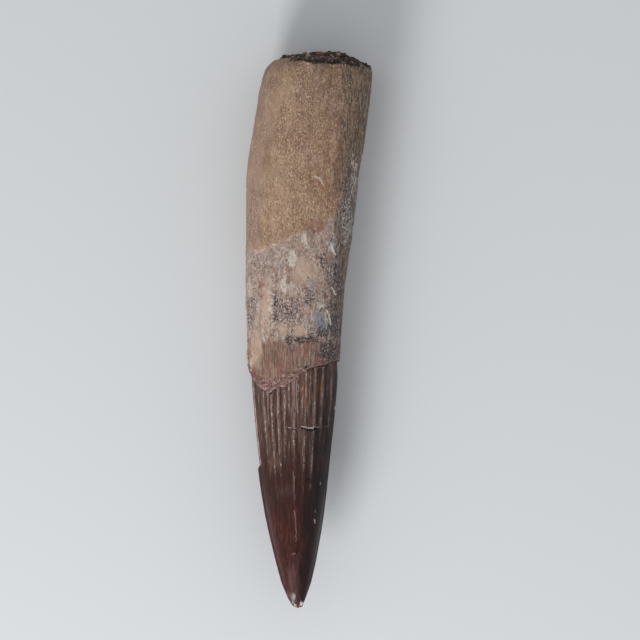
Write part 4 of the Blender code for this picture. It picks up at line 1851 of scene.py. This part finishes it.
@dataclass(frozen=True)
class PolishedEnamel:
    """Fossil enamel, mineralised red-brown and polished by handling: dark, glossy towards the tip.

    Fields:
        name, base: the material's name and first colour.
        specular: strength of its reflections, 0.5 for glass.
        matt, polished: its roughness at the root and at the tip.
        stains: its colours, one over another, with painted sheen, glints, highlight and shade among them.
        marks: its widest crack with a painted highlight on its lip, a painted highlight along a crest, a pale
            mark.
        bumps, smoothed: striae and wrinkles, and the share of them that polish takes away.
        gloss_size, gloss_change: how finely its roughness varies, and how much.
    """

    name: str = "fossil_enamel_burial_polished"
    base: str = "#3f1d15"
    specular: float = 0.22
    matt: float = 0.6
    polished: float = 0.19
    stains: tuple[Stain, ...] = (
        Stain(Mask.BASE, "#8e7166", (1.0, 9.0), 0.95, 0.85, 0.6),
        *stains(None, ("#231210", (0.4, 7.0), 0.36, 0.55, 0.2), ("#6b423a", (0.3, 4.5), 0.28, 0.36, 0.2)),
        # Painted sheen: a soft mauve-grey highlight on the crown near the point.
        Stain(Mask.ROSE_AND_SHEEN, "#6f5558", (0.5, 5.0), 0.85, 0.5, 0.6),
        Stain(Mask.IRON, "#8a5233", (0.4, 4.0), 0.85, 0.62, 0.25),
        *stains(Mask.BASE, ("#b8a093", (0.2, 5.0), 0.27, 0.5, 0.1), ("#33211c", (0.2, 6.0), 0.42, 0.65, 0.1)),
        Stain(Mask.BASE, "#33211c", (0.24, 0.36), 0.2, 0.5, 0.1),
        Stain(Mask.HOLLOW, "#2b1a16", (0.35, 5.0), 0.62, 0.7, 0.3),
        Stain(Mask.CREST_AND_GLINT, "#a08c80", (0.4, 2.4), 0.75, 0.58, 0.3),
        # Painted glints: whitish dashes of highlight along the crests.
        Stain(Mask.CREST_AND_GLINT, "#d3c8c0", (0.22, 0.8), 0.34, 0.66, 0.12),
        # Partly painted shade: the crown's right flank, away from the light, darkened.
        Stain(Mask.DUSK_AND_SHADE, "#0f0e13", (1.2, 8.0), 0.95, 0.85, 0.6),
        *CRUMBLY_RUST,
        # Small pale marks, and the painted highlight on the cracks' raised lips.
        Stain(Mask.CHALK_AND_HIGHLIGHTS, "#c2b2a5", 0.5, 0.8, 0.8, 0.2),
        Stain(Mask.CHIP, "#c0a096", (0.3, 0.9), 0.95, 0.88, 0.25),
        Stain(Mask.CHIP, "#ddc6bc", (0.25, 0.8), 0.45, 0.75, 0.15),
        Stain(Mask.CHIP, "#4a2e27", (0.3, 0.9), 0.25, 0.7, 0.12),
        # Dark in cracks and pits, and the painted shadow under the rust band's step.
        Stain(Mask.CRACK_AND_SHADOW, "#0e0908", 0.4, 0.9, 0.95, 0.2),
    )
    marks: tuple[Stroke, ...] = (
        # A painted highlight along the widest crack's lip, and two dark strokes in its gap.
        Stroke("#c9bab0", ((-1.5, 37.95), (-0.8, 37.85), (-0.1, 37.6), (0.8, 37.65), (1.5, 37.9)), 0.09, 0.6),
        Stroke("#080505", ((-1.4, 37.65), (-0.7, 37.5), (0.0, 37.2), (0.9, 37.25), (1.7, 37.6)), 0.19, 0.95),
        Stroke("#080505", ((-3.4, 37.35), (-2.7, 37.3)), 0.12, 0.85),
        # A painted highlight along a ridge crest near the point.
        Stroke("#96807b", ((-2.95, 20.4), (-2.75, 18.6), (-2.6, 16.2), (-2.65, 14.0)), 0.08, 0.5),
        Stroke("#8d7274", ((-3.4, 11.2), (-2.8, 11.3)), 0.2, 0.3),
    )
    bumps: tuple[Bump, ...] = (Bump((0.2, 3.0), 0.07), Bump((0.22, 0.35), 0.025))
    smoothed: float = 0.75
    gloss_size: Lumps = (0.5, 1.5)
    gloss_change: float = 0.12

    def make(self) -> bpy.types.Material:
        """The material: fine lengthwise striae and wrinkles, matt above and polished below."""
        recipe = Recipe(self.name, self.base)
        recipe.stain(*self.stains)
        recipe.strokes(*self.marks)
        polish = recipe.mask(Mask.POLISH)
        rough = recipe.math("MULTIPLY_ADD", polish, -self.smoothed, 1.0)
        for bump in self.bumps:
            recipe.bump(bump, rough)
        smooth = recipe.math("MULTIPLY_ADD", polish, self.polished - self.matt, self.matt)
        roughness = recipe.math("MULTIPLY_ADD", recipe.noise(self.gloss_size), self.gloss_change, smooth)
        recipe.shader.inputs["Specular IOR Level"].default_value = self.specular
        return recipe.finish(roughness)


@dataclass(frozen=True)
class SandyRoot:
    """Fossil root dentine, bleached and stained in the ground, under a thin crust of cemented sand.

    Fields:
        name, base: the material's name and first colour.
        dentine: stains of the bare root.
        crust, sand_size, sand_tones: where sand hides them, the size of its grains and their colours.
        tone_size, tone_detail, tone_range: lighter and darker patches of sand.
        grain_contrast: how much neighbouring grains differ.
        over: stains that lie on both.
        marks: three painted glints of highlight on the right, a scratch down to pale dentine, outlines of old
            stains.
        grain_height, bump: how far grains stand out, and the relief on them.
        roughness: of all of it.
    """

    name: str = "fossil_root_dentine_with_sand_crust"
    base: str = "#a08c80"
    dentine: tuple[Stain, ...] = (
        *stains(None, ("#85705f", (1.2, 2.2), 0.45, 0.75, 0.2), ("#bba99d", (0.9, 1.8), 0.36, 0.75, 0.12)),
        *stains(None, ("#a3796a", (2.2, 3.0), 0.34, 0.5, 0.3), ("#55463f", (0.32, 0.6), 0.26, 0.7, 0.08)),
        Stain(None, "#cfc3b8", (0.3, 0.6), 0.22, 0.65, 0.08),
        *stains(Mask.NECK, ("#805f50", (1.2, 7.0), 0.95, 0.9, 0.4), ("#a08676", (0.45, 7.0), 0.32, 0.6, 0.2)),
        Stain(Mask.NECK, "#49352d", (0.28, 3.2), 0.4, 0.62, 0.12),
        Stain(Mask.CREAM, "#b2998a", (0.7, 2.4), 0.7, 0.7, 0.3),
        Stain(Mask.SLATE, "#7d858c", (0.6, 0.9), 0.75, 0.75, 0.2),
        Stain(Mask.INK, "#2b272a", (0.3, 0.42), 0.62, 0.88, 0.1, 4.0),
    )
    crust: Stain = Stain(Mask.CRUST, "#000000", 0.6, 1.0, 1.0, 0.1)
    sand_size: float = 0.3
    sand_tones: Tones = (
        *((0.0, "#5d4535"), (0.2, "#7f634f"), (0.55, "#9d7f69"), (0.85, "#b4967f"), (1.0, "#d3baa0")),
    )
    tone_size: Lumps = (1.6, 4.0)
    tone_detail: float = 4.0
    tone_range: Pair = (-0.25, 1.5)
    grain_contrast: float = 0.42
    over: tuple[Stain, ...] = (
        Stain(Mask.GOLD, "#a07c58", (1.2, 2.0), 0.6, 0.42, 0.4),
        Stain(Mask.ROSE_AND_SHEEN, "#9c8276", (0.8, 3.0), 0.8, 0.6, 0.5),
        Stain(Mask.CREAM, "#b89c83", (0.5, 1.0), 0.75, 0.5, 0.4),
        *stains(Mask.GRIT, ("#7d5f54", (2.2, 3.6), 0.42, 0.42, 0.3), ("#a5865e", (1.8, 2.8), 0.34, 0.4, 0.3)),
        *stains(Mask.GRIT, ("#5e4636", (0.3, 0.6), 0.3, 0.6, 0.1), ("#6b5140", (0.24, 1.3), 0.26, 0.5, 0.1)),
        Stain(Mask.GRIT, "#cbb092", (0.26, 0.55), 0.26, 0.65, 0.08),
        Stain(Mask.GOLD, "#cdaf92", (0.32, 0.95), 0.17, 0.7, 0.08),
        *stains(Mask.FLANK, ("#4f3d2f", (0.6, 3.0), 0.8, 0.6, 0.4), ("#332a25", (0.32, 0.9), 0.38, 0.7, 0.1)),
        *stains(Mask.FLANK, ("#3a2c22", (0.36, 3.2), 0.4, 0.6, 0.12), ("#a39887", (0.3, 1.3), 0.3, 0.6, 0.1)),
        Stain(Mask.CHALK_AND_HIGHLIGHTS, "#c8bdb0", (0.4, 0.9), 0.66, 0.8, 0.15),
        Stain(Mask.IRON, "#7b4d3c", (0.5, 1.1), 0.75, 0.7, 0.25),
        Stain(Mask.SPECK, "#3e3640", (0.28, 0.36), 0.5, 0.88, 0.08),
        Stain(Mask.SPECK, "#cdc2b7", (0.3, 0.4), 0.2, 0.6, 0.08),
        *CRUMBLY_RUST,
        Stain(Mask.GRIME, "#2c221b", 0.45, 0.7, 0.9, 0.12),
        Stain(Mask.CHIP, "#cbb5a6", 0.5, 0.85, 0.9, 0.2),
        # Dark in cracks and pits, and the edge of the painted shadow under the rust band.
        Stain(Mask.CRACK_AND_SHADOW, "#1a1412", 0.4, 0.9, 0.95, 0.2),
    )
    marks: tuple[Stroke, ...] = (
        Stroke("#453d3b", ((-4.4, 55.6), (-3.9, 54.4), (-3.5, 53.4), (-3.1, 54.0)), 0.22, 0.7),
        Stroke("#2b272b", ((-2.4, 56.2), (-1.2, 56.5), (-0.2, 56.3), (0.9, 56.6)), 0.2, 0.8),
        Stroke("#54423a", ((-7.0, 55.4), (-7.1, 50.2)), 0.1, 0.6),
        Stroke("#54423a", ((-6.2, 58.2), (-6.3, 53.6)), 0.1, 0.6),
        Stroke("#4c3a31", ((0.6, 55.4), (0.5, 50.8)), 0.12, 0.65),
        # Painted glints: three pale strokes of highlight on the right of the root.
        Stroke("#cfc5b9", ((4.5, 76.5), (5.0, 75.4), (5.6, 74.0)), 0.16, 0.9),
        Stroke("#cfc5b9", ((4.9, 67.1), (5.7, 65.6)), 0.15, 0.9),
        Stroke("#cfc5b9", ((3.9, 62.3), (4.3, 61.2), (4.7, 59.4)), 0.15, 0.9),
        Stroke("#bfb0a0", ((1.3, 90.3), (2.3, 89.9), (3.1, 88.6)), 0.15, 0.85),
        Stroke("#5e2d2a", ((-12.0, 48.9), (-11.2, 48.5), (-10.2, 48.0)), 0.45, 0.6),
    )
    grain_height: float = 0.04
    bump: Bump = Bump((0.2, 0.55), 0.055, 3.0)
    roughness: float = 0.82

    def make(self) -> bpy.types.Material:
        """The material: matt and gritty, with a bump for each sand grain of the crust."""
        recipe = Recipe(self.name, self.base)
        recipe.stain(*self.dentine)
        chance, away = recipe.cells(self.sand_size)
        grit = recipe.mask(Mask.GRIT)
        lowest, span = self.tone_range
        tone = recipe.math("MULTIPLY_ADD", recipe.noise(self.tone_size, self.tone_detail), span, lowest)
        centred = recipe.math("SUBTRACT", chance, 0.5)
        tone = recipe.math("MULTIPLY_ADD", centred, recipe.math("MULTIPLY", grit, self.grain_contrast), tone)
        recipe.cover(recipe.amount(self.crust), recipe.tones(tone, self.sand_tones))
        recipe.stain(*self.over)
        recipe.strokes(*self.marks)
        recipe.raise_by(recipe.math("MULTIPLY", away, grit), -self.grain_height)
        recipe.bump(self.bump)
        return recipe.finish(self.roughness)


@dataclass(frozen=True)
class SedimentPlug:
    """Dark sandy sediment, cemented in the ground inside the hollow root: its base, stains and relief."""

    name: str = "cemented_sediment"
    base: str = "#1d1713"
    stains: tuple[Stain, ...] = (
        *stains(Mask.IRON, ("#5e4433", 0.8, 0.8, 0.8, 0.2), ("#8a6c50", 0.4, 0.35, 0.7, 0.1)),
        *stains(None, ("#3f3228", 0.7, 0.4, 0.8, 0.1), ("#0d0a09", 0.5, 0.4, 0.9, 0.1)),
        *stains(None, ("#6e4c34", 0.35, 0.14, 0.7, 0.06), ("#a3917a", 0.3, 0.05, 0.7, 0.05)),
    )
    bump: Bump = Bump(0.4, 0.3, 3.0)
    roughness: float = 0.92

    def make(self) -> bpy.types.Material:
        """The material: rough and dark, speckled with the browns of its sand."""
        recipe = Recipe(self.name, self.base)
        recipe.stain(*self.stains)
        recipe.bump(self.bump)
        return recipe.finish(self.roughness)


@dataclass(frozen=True)
class QuartzSand:
    """River-worn quartz grains, clear to amber, each of one of these tones."""

    name: str = "quartz_sand_grains"
    tones: Tones = (
        *((0.0, "#241c17"), (0.22, "#4a3829"), (0.36, "#774a35"), (0.5, "#957650")),
        *((0.7, "#a89872"), (0.78, "#b08d72"), (0.9, "#c6a58b"), (1.0, "#cfc3ae")),
    )
    bump: Bump = Bump(0.1, 0.02)
    roughness: float = 0.45

    def make(self) -> bpy.types.Material:
        """The material: a tint for each grain, slightly glossy."""
        recipe = Recipe(self.name, self.tones[0][1])
        tint = add_node(recipe.tree, "Attribute", attribute_name=SandGrains.TINT).outputs["Fac"]
        recipe.colour = recipe.tones(tint, self.tones)
        recipe.bump(self.bump)
        return recipe.finish(self.roughness)


# ---- Studio ----


@dataclass(frozen=True)
class Studio:
    """A pale floor, one broad soft window light from the lower left, a weak sky, and a camera above.

    Fields:
        view_across, view_along: what the camera looks straight down at.
        view_height, view_width: a level plane, and the width of it that the camera sees.
        camera_distance, sensor: the camera's height above the floor, and the width of its sensor.
        clip: nearest and farthest that it sees, in metres.
        window_from, window_distance, window_size, window_watts: the window light, in metres and watts.
        sky, sky_strength: the even light all round.
        floor_colour, floor_roughness, floor_size: of the floor, its width in metres.
    """

    view_across: float = 2.5
    view_along: float = 1.82
    view_height: float = 9.5
    view_width: float = 134.4
    camera_distance: float = 2400.0
    clip: Pair = (0.05, 20.0)
    sensor: float = 36.0
    window_from: Size = (-0.372, -0.827, 0.423)
    window_distance: float = 0.75
    window_size: float = 0.24
    window_watts: float = 4.8
    sky: str = "#eef1f5"
    sky_strength: float = 0.63
    floor_colour: str = "#d9dbdc"
    floor_roughness: float = 0.85
    floor_size: float = 3.0

    def build(self) -> None:
        """Makes the floor, the lights and the camera."""
        self.build_floor()
        self.build_lights()
        self.build_camera()

    def build_floor(self) -> None:
        """A level square of pale matt board."""
        half = self.floor_size / 2.0
        corners = [(-half, -half, 0), (half, -half, 0), (half, half, 0), (-half, half, 0)]
        mesh = bpy.data.meshes.new("floor")
        mesh.from_pydata(corners, [], [(0, 1, 2, 3)])
        floor = add_object("floor", mesh)
        material = bpy.data.materials.new("matt_board")
        material.use_nodes = True
        shader = material.node_tree.nodes["Principled BSDF"]
        shader.inputs["Base Color"].default_value = linear(self.floor_colour)
        shader.inputs["Roughness"].default_value = self.floor_roughness
        mesh.materials.append(material)

    def build_lights(self) -> None:
        """The window light and the sky."""
        light = bpy.data.lights.new("window", "AREA")
        light.shape = "SQUARE"
        light.size = self.window_size
        light.energy = self.window_watts
        window = add_object("window", light)
        direction = np.array(self.window_from) / np.linalg.norm(self.window_from)
        window.location = direction * self.window_distance
        window.rotation_euler = Vector(direction).to_track_quat("Z", "Y").to_euler()
        window.visible_camera = False
        world = bpy.data.worlds.new("sky")
        world.use_nodes = True
        background = world.node_tree.nodes["Background"]
        background.inputs["Color"].default_value = linear(self.sky)
        background.inputs["Strength"].default_value = self.sky_strength
        bpy.context.scene.world = world

    def build_camera(self) -> None:
        """A long lens high above the tooth, looking straight down."""
        data = bpy.data.cameras.new("camera")
        data.sensor_width = self.sensor
        data.lens = self.sensor * (self.camera_distance - self.view_height) / self.view_width
        data.clip_start, data.clip_end = self.clip
        camera = add_object("camera", data)
        camera.location = (self.view_across * MM, self.view_along * MM, self.camera_distance * MM)
        bpy.context.scene.camera = camera
        bpy.context.scene.view_settings.view_transform = "Standard"


Finish = PolishedEnamel | SandyRoot | SedimentPlug | QuartzSand


def dress(piece: bpy.types.Object, finishes: tuple[Finish, ...]) -> None:
    """Gives a piece its materials, in slot order, its body and its place in the record."""
    for finish in finishes:
        piece.data.materials.append(finish.make())
    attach(piece, BODY)
    log.info("%s: %d faces", piece.name, len(piece.data.polygons))


def main() -> None:
    """Builds the tooth, its sand grains and the studio, and reports the tooth and the grains."""
    logging.basicConfig(level=logging.INFO, format="%(name)s: %(message)s")
    surface, bed = Tooth().build()
    dress(surface, (PolishedEnamel(), SandyRoot(), SedimentPlug()))
    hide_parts(NODE)
    dress(SandGrains().build(bed), (QuartzSand(),))
    Studio().build()
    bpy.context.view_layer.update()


if __name__ == "__main__":
    main()
